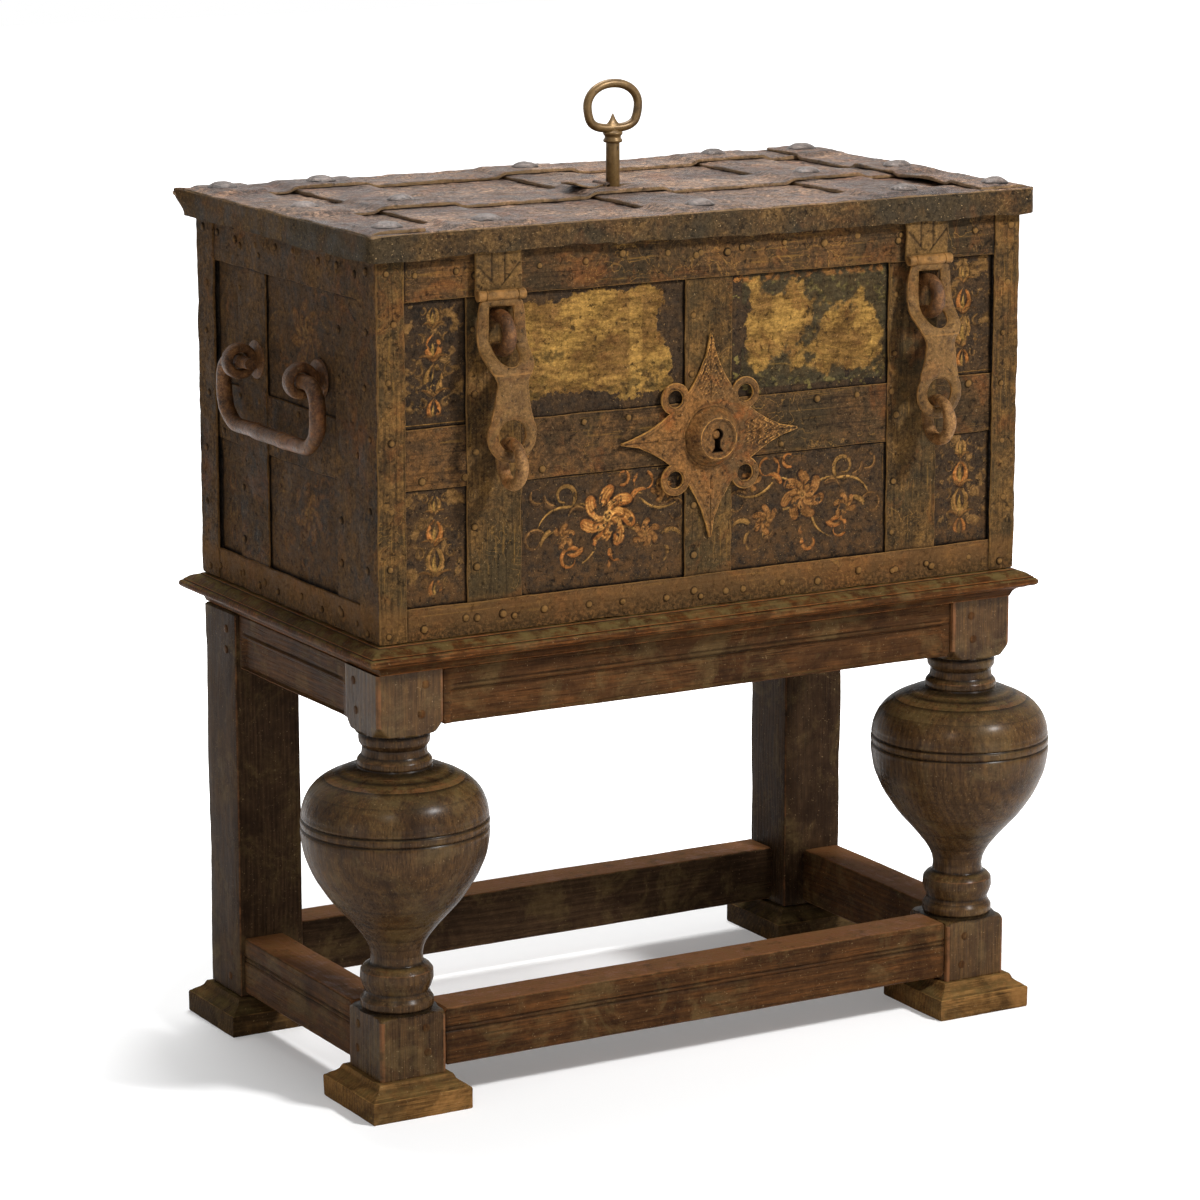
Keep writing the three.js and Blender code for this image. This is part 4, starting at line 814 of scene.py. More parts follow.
ORANGE = tint(142, 86, 40)
OCHRE = tint(116, 85, 44)
PALE = tint(202, 150, 80)
UMBER = tint(34, 26, 18)
BARK = tint(78, 55, 33)
GOLD = tint(104, 76, 37)
STRAW = tint(148, 113, 56)
OLIVE = tint(56, 48, 28)
GLOW = tint(146, 104, 55)


class Paint:
    """Colours laid over one another on a sheet: each new one covers the old by its cover, as glazes do."""

    def __init__(self, s, w):
        self.s, self.w = s, w
        self.colour = np.zeros((len(s), 4))

    def lay(self, cover, colour):
        cover = np.clip(cover, 0, 1)
        old = self.colour[:, 3] * (1 - cover)
        total = np.maximum(cover + old, 1e-6)
        fresh = np.outer(cover, np.asarray(colour[:3])) + self.colour[:, :3] * old[:, None]
        self.colour[:, :3] = fresh / total[:, None]
        self.colour[:, 3] = cover + old

    def stroke(self, line, width, colour, cover, taper=True):
        """A brush stroke, widest a quarter of the way along: its cover falls to 0 over 0.8 mm at its edge."""
        line = resampled(line, 1.0, 3)
        run = np.linspace(0, 1, len(line))
        swell = np.sin(np.pi * np.sqrt(run * 0.96 + 0.02)) ** 0.7
        wide = width * (swell if taper else np.ones(len(line))) / 2
        low, high = line.min(0) - width - 1, line.max(0) + width + 1
        near = (self.s > low[0]) & (self.s < high[0]) & (self.w > low[1]) & (self.w < high[1])
        if not near.any():
            return
        gap = np.hypot(self.s[near][:, None] - line[:, 0], self.w[near][:, None] - line[:, 1]) - wide
        amount = np.zeros(len(self.s))
        amount[near] = np.clip(0.5 - gap.min(1) / 0.8, 0, 1) * cover
        self.lay(amount, colour)

    def bloom(self, centre, radius, petals, turn, colour, shade, light):
        """A full bloom: two rounds of bent petals, each with a dark side and pale lines, and a small coil."""
        centre = np.asarray(centre, float)
        for share, ahead in ((1.0, 0.0), (0.6, 0.5)):
            for k in range(petals):
                angle = turn + TURN * (k + ahead) / petals
                way = np.array([math.cos(angle), math.sin(angle)])
                side = np.array([-way[1], way[0]])
                tip = centre + (way + side * 0.3) * radius * share
                line = bow(tip, centre + way * radius * 0.1, -radius * 0.26 * share)
                self.stroke(line - side * radius * 0.06, radius * 0.6 * share, shade, 0.75)
                self.stroke(line, radius * 0.46 * share, colour, 0.85)
                for shift in (0.17, 0.05, -0.07):
                    self.stroke(line + side * radius * shift * share, max(radius * 0.05, 0.9), light, 0.7)
        self.stroke(curl(centre, radius * 0.22, turn, 1.4, 0.75), max(radius * 0.1, 1.0), light, 0.8)

    def scroll(self, line, width, colour, light):
        """A stem, leaf or curl: a dark stroke, a coloured one on it and a thin pale line off its middle."""
        self.stroke(line, width * 1.5 + 1.2, UMBER, 0.6)
        self.stroke(line, width, colour, 0.9)
        self.stroke(line + (0.2 * width, 0.25 * width), max(width * 0.26, 1.1), light, 0.8)


def curl(centre, radius, turn, turns, grow):
    """A spiral: the radius falls by the share grow over its turns, negative turns run clockwise."""
    share = np.linspace(0, 1, 60)
    angle = turn + share * turns * TURN
    far = radius * (1 - grow * share)
    return np.stack([centre[0] + far * np.cos(angle), centre[1] + far * np.sin(angle)], -1)


def bow(start, stop, lift):
    """A bent line: a parabola of the height lift over the chord from start to stop."""
    share = np.linspace(0, 1, 30)[:, None]
    start, stop = np.asarray(start, float), np.asarray(stop, float)
    chord = stop - start
    side = np.array([-chord[1], chord[0]]) / np.hypot(*chord)
    return start + chord * share + side * lift * 4 * share * (1 - share)


# What scroll_garden draws: (start, reach, lift) of lines, (place, radius, turn, turns) of curls
SMEARS = (
    ((-60, -20), (40, 24), 9), ((40, -34), (50, 20), 6), ((-20, 30), (60, 16), 3), ((60, 10), (40, 30), 0),
    ((-80, 20), (30, 26), -3), ((-10, -46), (60, 8), -6),
)
STEMS = (
    ((0, 0), (46, 24), 10), ((0, 0), (-50, 16), -11), ((-8, -8), (-26, -36), 8), ((18, -8), (34, -30), 9),
    ((40, 20), (44, -8), -8), ((-40, 18), (-42, -24), -10),
)
CURLS = (
    ((46, 36), 13, 3.6, -0.9), ((-48, 30), 12, 5.6, 0.95), ((82, 2), 13, 2.4, -0.85),
    ((-42, -36), 12, 0.6, 0.9), ((62, -40), 12, 1.6, -0.9), ((-84, -14), 12, 0.4, 0.9),
    ((20, 44), 8, 4.4, 0.8), ((90, 34), 9, 4.0, 0.9), ((-80, 34), 9, 5.2, -0.8), ((-6, -46), 9, 0.4, -0.8),
)
LEAVES = (
    ((30, 20), (18, 8), 5), ((-26, 14), (-18, -6), -6), ((64, 14), (14, 12), 4), ((4, -30), (12, -12), -4),
    ((-60, 20), (-12, 14), 4), ((68, -20), (20, -2), 5), ((-28, -26), (-18, -4), 4),
    ((36, -24), (16, -14), -5), ((-62, -4), (-14, -16), -4),
)


def scroll_garden(s, w, wide, high, turned_over, seed):
    """Blooms, leaves and curling stems on a dark sheet, with a thin border; turned over, it is mirrored."""
    paint = Paint(wide - s if turned_over else s, w)
    gap = np.minimum(np.minimum(s, wide - s), np.minimum(w, high - w))
    for inset, strength in ((4.0, 0.5), (7.0, 0.35)):
        paint.lay(np.clip(1 - np.abs(gap - inset) / 0.6, 0, 1) * strength, OCHRE)
    size = high / 122
    middle = np.array([wide * 0.52, high * 0.56])

    def drawn(start, reach, lift):
        start = middle + np.array(start) * size
        return bow(start, start + np.array(reach) * size, lift)

    for line in SMEARS:
        paint.stroke(drawn(*line), 15.0, BARK, 0.4)
    for line in STEMS:
        paint.scroll(drawn(*line), 2.6, OCHRE, PALE)
    for k, (at, radius, turn, turns) in enumerate(CURLS):
        line = curl(middle + np.array(at) * size, radius * size * 1.1, turn, turns, 0.55)
        paint.scroll(line, 4.2 if k % 2 else 3.2, (ORANGE, OCHRE, BARK)[k % 3], GLOW)
    for k, line in enumerate(LEAVES):
        paint.scroll(drawn(*line), 5.2, (ORANGE, BARK, OCHRE)[k % 3], GLOW)
    great = ((3, 4), 23, 7, 0.3) if turned_over else ((3, 4), 28, 7, 0.3)
    blooms = great, ((48, -18), 14, 6, 1.1), ((-50, -12), 12, 6, 2.0), ((66, 26), 11, 5, 0.2)
    for at, radius, petals, turn in blooms:
        colour, light = (ORANGE, PALE) if radius == 28 else (tint(114, 73, 37), GLOW)
        paint.bloom(middle + np.array(at) * size, radius * size, petals, turn, colour, UMBER, light)
    at = np.stack([s, w], -1)
    faded = ease(0.4 + (w - 4) / 60 + clouds(at, seed, 34) * 0.3)
    worn = ease(0.9 + clouds(at, seed + 9, 60) * 0.35)
    paint.colour[:, 3] *= faded * worn * ease(0.95 + clouds(at, seed + 5, 14) * 0.4)
    return paint.colour


def gilded_view(s, w, wide, high, turned_over, seed):
    """A rubbed gilt field with soft borders and an upright bar; turned over, two gilt rounds on olive."""
    across = wide - s if turned_over else s
    paint = Paint(across, w)
    at = np.stack([across, w], -1)
    patch = clouds(at, seed, 70, 5)
    fine = clouds(at, seed + 20, 14, 5)
    brushed = clouds(at * (0.25, 1.6), seed + 40, 16)
    gap = np.minimum(np.minimum(across + 2, wide * 0.9 - across), np.minimum(w - 14, high - 5 - w))
    field = ease((gap + 4 * patch + 1.5 * fine) / 12)
    paint.lay(field * 0.95, GOLD)
    paint.lay(field * ease(patch * 0.6 + brushed * 0.35 + 0.35) * 0.7, STRAW)
    paint.lay(field * ease(brushed * 0.9 - patch * 0.3 - 0.1) * 0.55, tint(98, 70, 38))
    bar = ease(4 - np.abs(across - wide * 0.7) / 2.2) * field * ease(fine * 0.4 + 0.9)
    paint.lay(bar * 0.5, STRAW)
    stain = ease(clouds(at, seed + 60, 46) * 0.8 - 0.1) * ease(fine * 0.6 + 0.6)
    paint.lay(field * stain * 0.55, tint(92, 60, 31))
    if turned_over:
        first = 1 - np.hypot((across - wide * 0.72) / 54, (w - high * 0.6) / 50)
        second = 1 - np.hypot((across - wide * 0.27) / 46, (w - high * 0.38) / 42)
        gilt = ease((np.maximum(first, second) * 30 + 5 * patch + 2.5 * fine) / 6)
        paint.lay((1 - gilt) * ease((gap + 8) / 8) * 0.95, tint(50, 44, 30))
        paint.lay(ease(fine * 0.9 - 0.4) * (1 - gilt) * 0.6, tint(96, 84, 46))
        strip = ease((w - high + 12) / 4) * ease((across - 6) / 2) * ease(fine * 0.9 + 0.1)
        paint.lay(strip * 0.45, ORANGE)
    else:
        land = ease((high * 0.36 + 14 * patch + 4 * fine - w - 0.08 * across) / 12)
        paint.lay(field * land * ease(fine * 0.8 + 0.6) * 0.65, OLIVE)
        low = ease(1 - np.abs(w - high * 0.3 - 5 * patch) / 9) * field * ease(fine + 0.3)
        paint.lay(low * 0.6, STRAW)
    for k, start in enumerate((0.12, 0.3, 0.42, 0.55, 0.62)):
        rise = high * (0.2 + 0.12 * (k % 3))
        line = bow((wide * start, rise), (wide * (start + 0.22), rise + 6), 3)
        paint.stroke(line, 1.5, STRAW if k % 2 else OLIVE, 0.5)
    return paint.colour


def candelabrum(s, w, wide, high, turned_over, seed):
    """A standing stem with closed buds, each two bent petals round a heart, and curls; half rubbed away.

    It is the same turned over.
    """
    paint = Paint(s, w)
    at = np.stack([s, w], -1)
    paint.lay(ease(clouds(at, seed + 3, 40) * 0.5 + 0.45) * 0.5, tint(104, 76, 42))
    middle = wide * 0.5
    paint.stroke([(middle, 10), (middle, high - 12)], 1.4, BARK, 0.6, taper=False)
    for k, (share, size) in enumerate(((0.14, 10), (0.37, 14), (0.62, 12), (0.85, 9))):
        height = high * share
        for side in (-1, 1):
            petal = bow((middle, height - size), (middle + side, height + size * 1.1), -side * size * 0.55)
            paint.scroll(petal, size * 0.46, OCHRE if k % 2 else ORANGE, tint(156, 110, 58))
            beside_it = middle + side * size * 1.3
            line = curl((beside_it, height + size * 0.7), size * 0.5, 1.6, side * 0.9, 0.6)
            paint.scroll(line, 1.8, BARK, OCHRE)
            leaf = bow((middle, height - size * 1.1), (beside_it, height - size * 0.7), side * 3)
            paint.scroll(leaf, 2.6, tint(98, 64, 32), OCHRE)
        heart = bow((middle, height - size * 0.6), (middle, height + size * 0.6), 1.0)
        paint.stroke(heart, size * 0.3, STRAW, 0.6)
    paint.colour[:, 3] *= ease(0.85 + clouds(at, seed, 26) * 0.4) * 0.95 * ease((w - 4) / 20)
    line = np.clip(1 - np.abs(w - 5.0) / 0.9, 0, 1) * (0.75 if high > 122 else 0.0)
    paint.lay(line, OCHRE)
    return paint.colour


# The chest's walls

UP = np.array([0.0, 0.0, 1.0])
WALLS = {
    "front": ((1.0, 0.0, 0.0), (0.0, -1.0, 0.0), HALF_DEPTH),
    "back": ((-1.0, 0.0, 0.0), (0.0, 1.0, 0.0), HALF_DEPTH),
    "left": ((0.0, -1.0, 0.0), (-1.0, 0.0, 0.0), HALF_WIDTH),
    "right": ((0.0, 1.0, 0.0), (1.0, 0.0, 0.0), HALF_WIDTH),
}
LONG_WALLS = ("front", "back")


def on_wall(wall):
    """place(u, v, out) on a wall: u runs right as one faces it, v up, out away from the straps' face."""
    right, away, reach = WALLS[wall]
    right, away = np.array(right), np.array(away)

    def place(u, v, out):
        u, v, out = np.broadcast_arrays(u, v, out)
        return u[..., None] * right + (reach + out)[..., None] * away + v[..., None] * UP

    return place


def box_distance(s, w, low, high, rounding):
    """Distance to a rectangle with rounded corners.

    With d = |p - middle| - half + r: the length of d's positive parts, or its larger one below 0, less r.
    """
    a = np.abs(s - (low[0] + high[0]) / 2) - (high[0] - low[0]) / 2 + rounding
    b = np.abs(w - (low[1] + high[1]) / 2) - (high[1] - low[1]) / 2 + rounding
    return np.hypot(np.maximum(a, 0), np.maximum(b, 0)) + np.minimum(np.maximum(a, b), 0) - rounding


def hammered(seed, broad, fine=0.16):
    """relief(s, w) of a hammered face: ripples 42 mm and 11 mm long."""
    return lambda s, w: ripples(np.stack([s, w], -1), seed, (42, broad), (11, fine))


def flat_iron(low, high, place, seed, thickness=2.6, step=3.0, wobble=0.3, rounding=1.5, cut=None, nook=None,
              wear=2.5):
    """A forged strap laid out flat: a rectangle whose edges wander by ripples, less a hole cut(s, w)."""

    def distance(s, w):
        wander = ripples(np.stack([s, w], -1), seed + 2, (60, wobble), (15, wobble * 0.4))
        gap = box_distance(s, w, low, high, rounding) + wander
        return gap if cut is None else np.maximum(gap, -cut(s, w))

    span = 2 * wobble + 1
    return plate(distance, np.array(low) - span, np.array(high) + span, step, thickness, place,
                 relief=hammered(seed, 0.5), wear=wear, nook=nook)


def beside(rectangles, reach=3.2):
    """Painted shade as a function of (s, w): 1 at the edges of the irons that lie over a piece, falling to 0
    at reach from them.
    """

    def nook(s, w):
        gap = np.full(np.shape(s), reach)
        for low, high in rectangles:
            gap = np.minimum(gap, np.abs(box_distance(s, w, low, high, 0.0)))
        return (1 - gap / reach) ** 1.5

    return nook


def lifted(place, out):
    """place with every height raised by out."""
    return lambda s, w, h: place(s, w, h + out)


def painted_sheet(wall, low, high, drawing, turned_over, seed, step):
    """One painted sheet: a grid moved by ripples, its border turned back; one face closes it behind."""
    counts = [max(int((b - a) / step), 2) for a, b in zip(low, high)]
    u, v = np.meshgrid(*[np.linspace(a, b, n + 1) for a, b, n in zip(low, high, counts)], indexing="ij")
    place = on_wall(wall)
    front = place(u, v, SHEET_OUT + hammered(seed, 0.35, 0.1)(u, v)).reshape(-1, 3)
    number = np.arange(u.size).reshape(u.shape)
    loop = np.concatenate([number[:, 0], number[-1, 1:], number[-2::-1, -1], number[0, -2:0:-1]])
    back = place(u.ravel()[loop], v.ravel()[loop], SHEET_OUT - 1.0)
    ring = np.arange(len(loop))
    after = np.roll(ring, -1)
    total = u.size
    walls = np.stack([loop, loop[after], total + after, total + ring], -1)
    cells = np.stack([number[:-1, :-1], number[1:, :-1], number[1:, 1:], number[:-1, 1:]], -1).reshape(-1, 4)
    wide, tall = high[0] - low[0], high[1] - low[1]
    s, w = u.ravel() - low[0], v.ravel() - low[1]
    border = np.minimum(np.minimum(s, wide - s), np.minimum(w, tall - w))
    # painted shade: the shade mark darkens the sheet's border, where the straps lie over it
    marks = {"paint": drawing(s, w, wide, tall, turned_over, seed),
             "dirt": ease((110 - v.ravel()) / 80) * 0.8 + 0.2,
             "nook": np.clip(1 - (border - 1.5) / 3.2, 0, 1) ** 1.5}
    for name, mark in marks.items():
        marks[name] = np.concatenate([mark, np.zeros((len(loop),) + mark.shape[1:])])
    faces = cells, walls[:, ::-1], (total + ring)[None, ::-1]
    return outward(Shape(np.vstack([front, back]), *faces, **marks))


def wall_uprights(wall):
    """The uprights of a wall in its own u, left to right."""
    if wall in LONG_WALLS:
        return FRONT_UPRIGHTS
    sign = 1 if wall == "right" else -1
    return sorted(tuple(sorted((a * sign, b * sign))) for a, b in END_UPRIGHTS)


def make_sheets():
    """Painted sheets in every bay of the four walls."""
    rows = (("lower", BOTTOM_RAIL, MIDDLE_RAIL[0]), ("upper", MIDDLE_RAIL[1], TOP_RAIL))
    lap = 1.5
    for index, wall in enumerate(WALLS):
        long_wall = wall in LONG_WALLS
        uprights = wall_uprights(wall)
        for level, low, high in rows:
            shapes = []
            for i, ((_, left), (right, _)) in enumerate(zip(uprights, uprights[1:])):
                drawing = scroll_garden if level == "lower" or not long_wall else gilded_view
                if right - left <= 90:
                    drawing = candelabrum
                seed = 100 + 40 * index + 7 * i + (20 if level == "upper" else 0)
                corners = (left - lap, low - lap), (right + lap, high + lap)
                step = 1.0 if wall == "front" else 2.0
                shapes.append(painted_sheet(wall, *corners, drawing, i >= 2, seed, step))
            finish = "front_sheet_iron" if long_wall else "end_sheet_iron"
            mesh_piece(f"{wall}_sheets_{level}", together(shapes), finish, "strongbox", "painted_iron")


def small_rivets(wall, spots, seed):
    """Small rivet heads: domes as high as 1.15 rise (1 - share^2) less 0.15 at each share of their radius."""
    draw = np.random.default_rng(seed)
    place = on_wall(wall)
    right, away, _ = WALLS[wall]
    count = 12
    shares = np.array([1.0, 0.92, 0.62, 0.2])
    shapes = []
    for spot in spots:
        radius, rise = draw.uniform(3.9, 5.2), draw.uniform(1.5, 2.4)
        profile = np.stack([radius * shares, rise * (1 - shares**2) * 1.15 - 0.15], -1)
        profile[0, 1] = -0.8
        head = turned(profile, place(*spot), away, count, right)
        # painted shade round the foot of each head; the worn mark rises to its top
        head.marks["nook"] = np.concatenate([np.repeat([1.0, 0.7, 0.0, 0.0], count), [0.0, 0.0]])
        head.marks["edge"] = np.concatenate([np.repeat([0.0, 0.2, 0.8, 1.0], count), [1.0, 1.0]])
        shapes.append(head)
    return together(shapes)


def rivet_spots(inner, corners, reach, seed):
    """Where a wall's small rivets sit: (u, v, out) on its inner uprights, its corners and its rails."""
    rail_out, post_out, corner_out, middle_out = 2.3, 0.6, 3.7, -0.6
    draw = np.random.default_rng(seed)
    spots = []
    for a, b in inner:
        for v in (17, 184, 364):
            for u in ((a + 9, b - 9) if b - a > 40 else ((a + b) / 2,)):
                out = rail_out if v != 184 else post_out
                spots.append((u + draw.uniform(-2, 2), v + draw.uniform(-4, 4), out))
        for v in (62, 112, 252, 312):
            spots.append((a + draw.uniform(7, 11), v + draw.uniform(-9, 9), post_out))
    for a, b in corners:
        for v in (14, 78, 140, 205, 262, 318, 372):
            spots.append(((a + b) / 2 + draw.uniform(-6, 6), v + draw.uniform(-6, 6), corner_out))
    for u in np.arange(-reach + 44, reach - 40, 47):
        spots.append((u + draw.uniform(-6, 6), 15 + draw.uniform(-4, 4), rail_out))
        spots.append((u + draw.uniform(-6, 6), 372 + draw.uniform(-3, 3), rail_out))
        spots.append((u + draw.uniform(-6, 6), draw.choice([162, 206]), middle_out))
    return spots


def make_strapwork():
    """The lattice on each wall: middle rail below, uprights over it, top and bottom rails next, corners last.

    On an end the wide upright is parted into the corner's strap and one beside it. The ends have no rivets
    where the bail's grip comes down.
    """
    corner_width, overhang, grip_z = 41, 3.0, BAIL_Z - 65
    for index, wall in enumerate(WALLS):
        place = on_wall(wall)
        end_wall = wall not in LONG_WALLS
        reach = HALF_DEPTH if end_wall else HALF_WIDTH
        seed = 300 + 50 * index
        spans = wall_uprights(wall)
        inner = list(spans[1:-1])
        corners = [(-reach - overhang, spans[0][1]), (spans[-1][0], reach + overhang)]
        if wall == "left":
            low, high = corners[1]
            corners[1] = (high - corner_width, high)
            inner.append((low, high - corner_width + 1))
        elif wall == "right":
            low, high = corners[0]
            corners[0] = (low, low + corner_width)
            inner.append((low + corner_width - 1, high))
        corner_boxes = [((a, 1.0), (b, 401.0)) for a, b in corners]
        inner_boxes = [((a, 3.0), (b, CHEST_HEIGHT - 2)) for a, b in inner]
        low_rail = (-reach + 3, 0.5), (reach - 3, BOTTOM_RAIL)
        high_rail = (-reach + 6, TOP_RAIL), (reach - 6, 400)
        middle_rail = (-reach + 4, MIDDLE_RAIL[0]), (reach - 4, MIDDLE_RAIL[1])
        # painted shadow: the lid's rim counts as an iron lying over the top rail, so shade is painted under
        # it
        rim_shadow_box = ((-999, 393.0), (999, 500.0))

        def strap(box, out, number, nook=None, wobble=0.3):
            step = 2.0 if wall == "front" else 3.0
            return flat_iron(*box, lifted(place, out), seed + number, step=step, wobble=wobble, nook=nook)

        # painted shade along the edges of the irons that lie over each strap
        posts = [strap(box, -0.7, 5 + i, beside([low_rail, high_rail])) for i, box in enumerate(inner_boxes)]
        posts += [strap(box, 2.4, 14 + i, wobble=0.4) for i, box in enumerate(corner_boxes)]
        rails = [strap(middle_rail, -1.9, 0, beside(inner_boxes + corner_boxes)),
                 strap(low_rail, 1.0, 11, beside(corner_boxes)),
                 strap(high_rail, 1.0, 12, beside(corner_boxes + [rim_shadow_box], 5.0))]
        post_finish = "end_strap_iron" if end_wall else "upright_strap_iron"
        for kind, parts, finish in (("rails", rails, "end_strap_iron" if end_wall else "front_strap_iron"),
                                    ("uprights", posts, post_finish)):
            mesh_piece(f"{wall}_{kind}", together(parts), finish, "strongbox", "strap_iron",
                       [f"{wall}_strapwork"])
        spots = rivet_spots(inner, corners, reach, seed)
        if end_wall:
            spots = [spot for spot in spots if abs(spot[0]) > 120 or abs(spot[1] - grip_z) > 20]
        mesh_piece(f"{wall}_rivets", small_rivets(wall, spots, seed), post_finish, "strongbox", "strap_iron")


# Escutcheon, staples and handles

STAR_Z = 179.0
STAR_OUT = 3.4
STAR_HALF_WIDTH = 104.0
STAR_HALF_HEIGHT = 110.0
LUG_PLACE = 42.0
LUG_RADIUS = 16.5
LUG_HOLE = 9.0
BOSS_RADIUS = 32.0
HOLE_RADIUS = 6.2
HOLE_UP = 3.5
SLOT_HALF = 3.0
SLOT_DROP = 14.5
STAPLE_Z = 306.5
STAPLE_RADIUS = 16.8
STAPLE_OUT = 15.0


def corners_distance(s, w, corners):
    """Distance to a many-cornered outline: the least to an edge, negative where an odd number lie right."""
    corners = np.asarray(corners, float)
    gap = np.full(np.shape(s), 1e9)
    inside = np.zeros(np.shape(s), bool)
    for (a, b), (c, d) in zip(corners, np.roll(corners, -1, 0)):
        share = np.clip(((s - a) * (c - a) + (w - b) * (d - b)) / ((c - a) ** 2 + (d - b) ** 2), 0, 1)
        gap = np.minimum(gap, np.hypot(s - a - share * (c - a), w - b - share * (d - b)))
        if b != d:
            inside ^= ((b > w) != (d > w)) & (s < (c - a) * (w - b) / (d - b) + a)
    return np.where(inside, -gap, gap)


def star_outline():
    """The star's corners: four long points joined by hollow flanks with shoulders between the lugs."""
    quarter = [(0, 110), (5, 92), (12, 74), (20, 60), (29, 47), (38, 38), (47, 29), (60, 20), (74, 12),
               (90, 5)]
    a, b = np.array(quarter, float).T
    a = a * STAR_HALF_WIDTH / STAR_HALF_HEIGHT
    turns = [(math.cos(k * math.pi / 2), math.sin(k * math.pi / 2)) for k in range(4)]
    return np.concatenate([np.stack([a * c + b * s, b * c - a * s], -1) for c, s in turns])


def keyhole_distance(s, w):
    """Negative in a keyhole: the nearest of a round hole, a slot below it and a foot that widens down."""
    hole = np.hypot(s, w - HOLE_UP) - HOLE_RADIUS
    slot = box_distance(s, w, (-SLOT_HALF, -SLOT_DROP), (SLOT_HALF, 0), 0.3)
    foot_half = 2.5
    foot = np.maximum(np.abs(s) - SLOT_HALF - (2 * foot_half - SLOT_DROP - w) * 0.8,
                      np.abs(w + SLOT_DROP - foot_half) - foot_half)
    return np.minimum(np.minimum(hole, slot), foot)


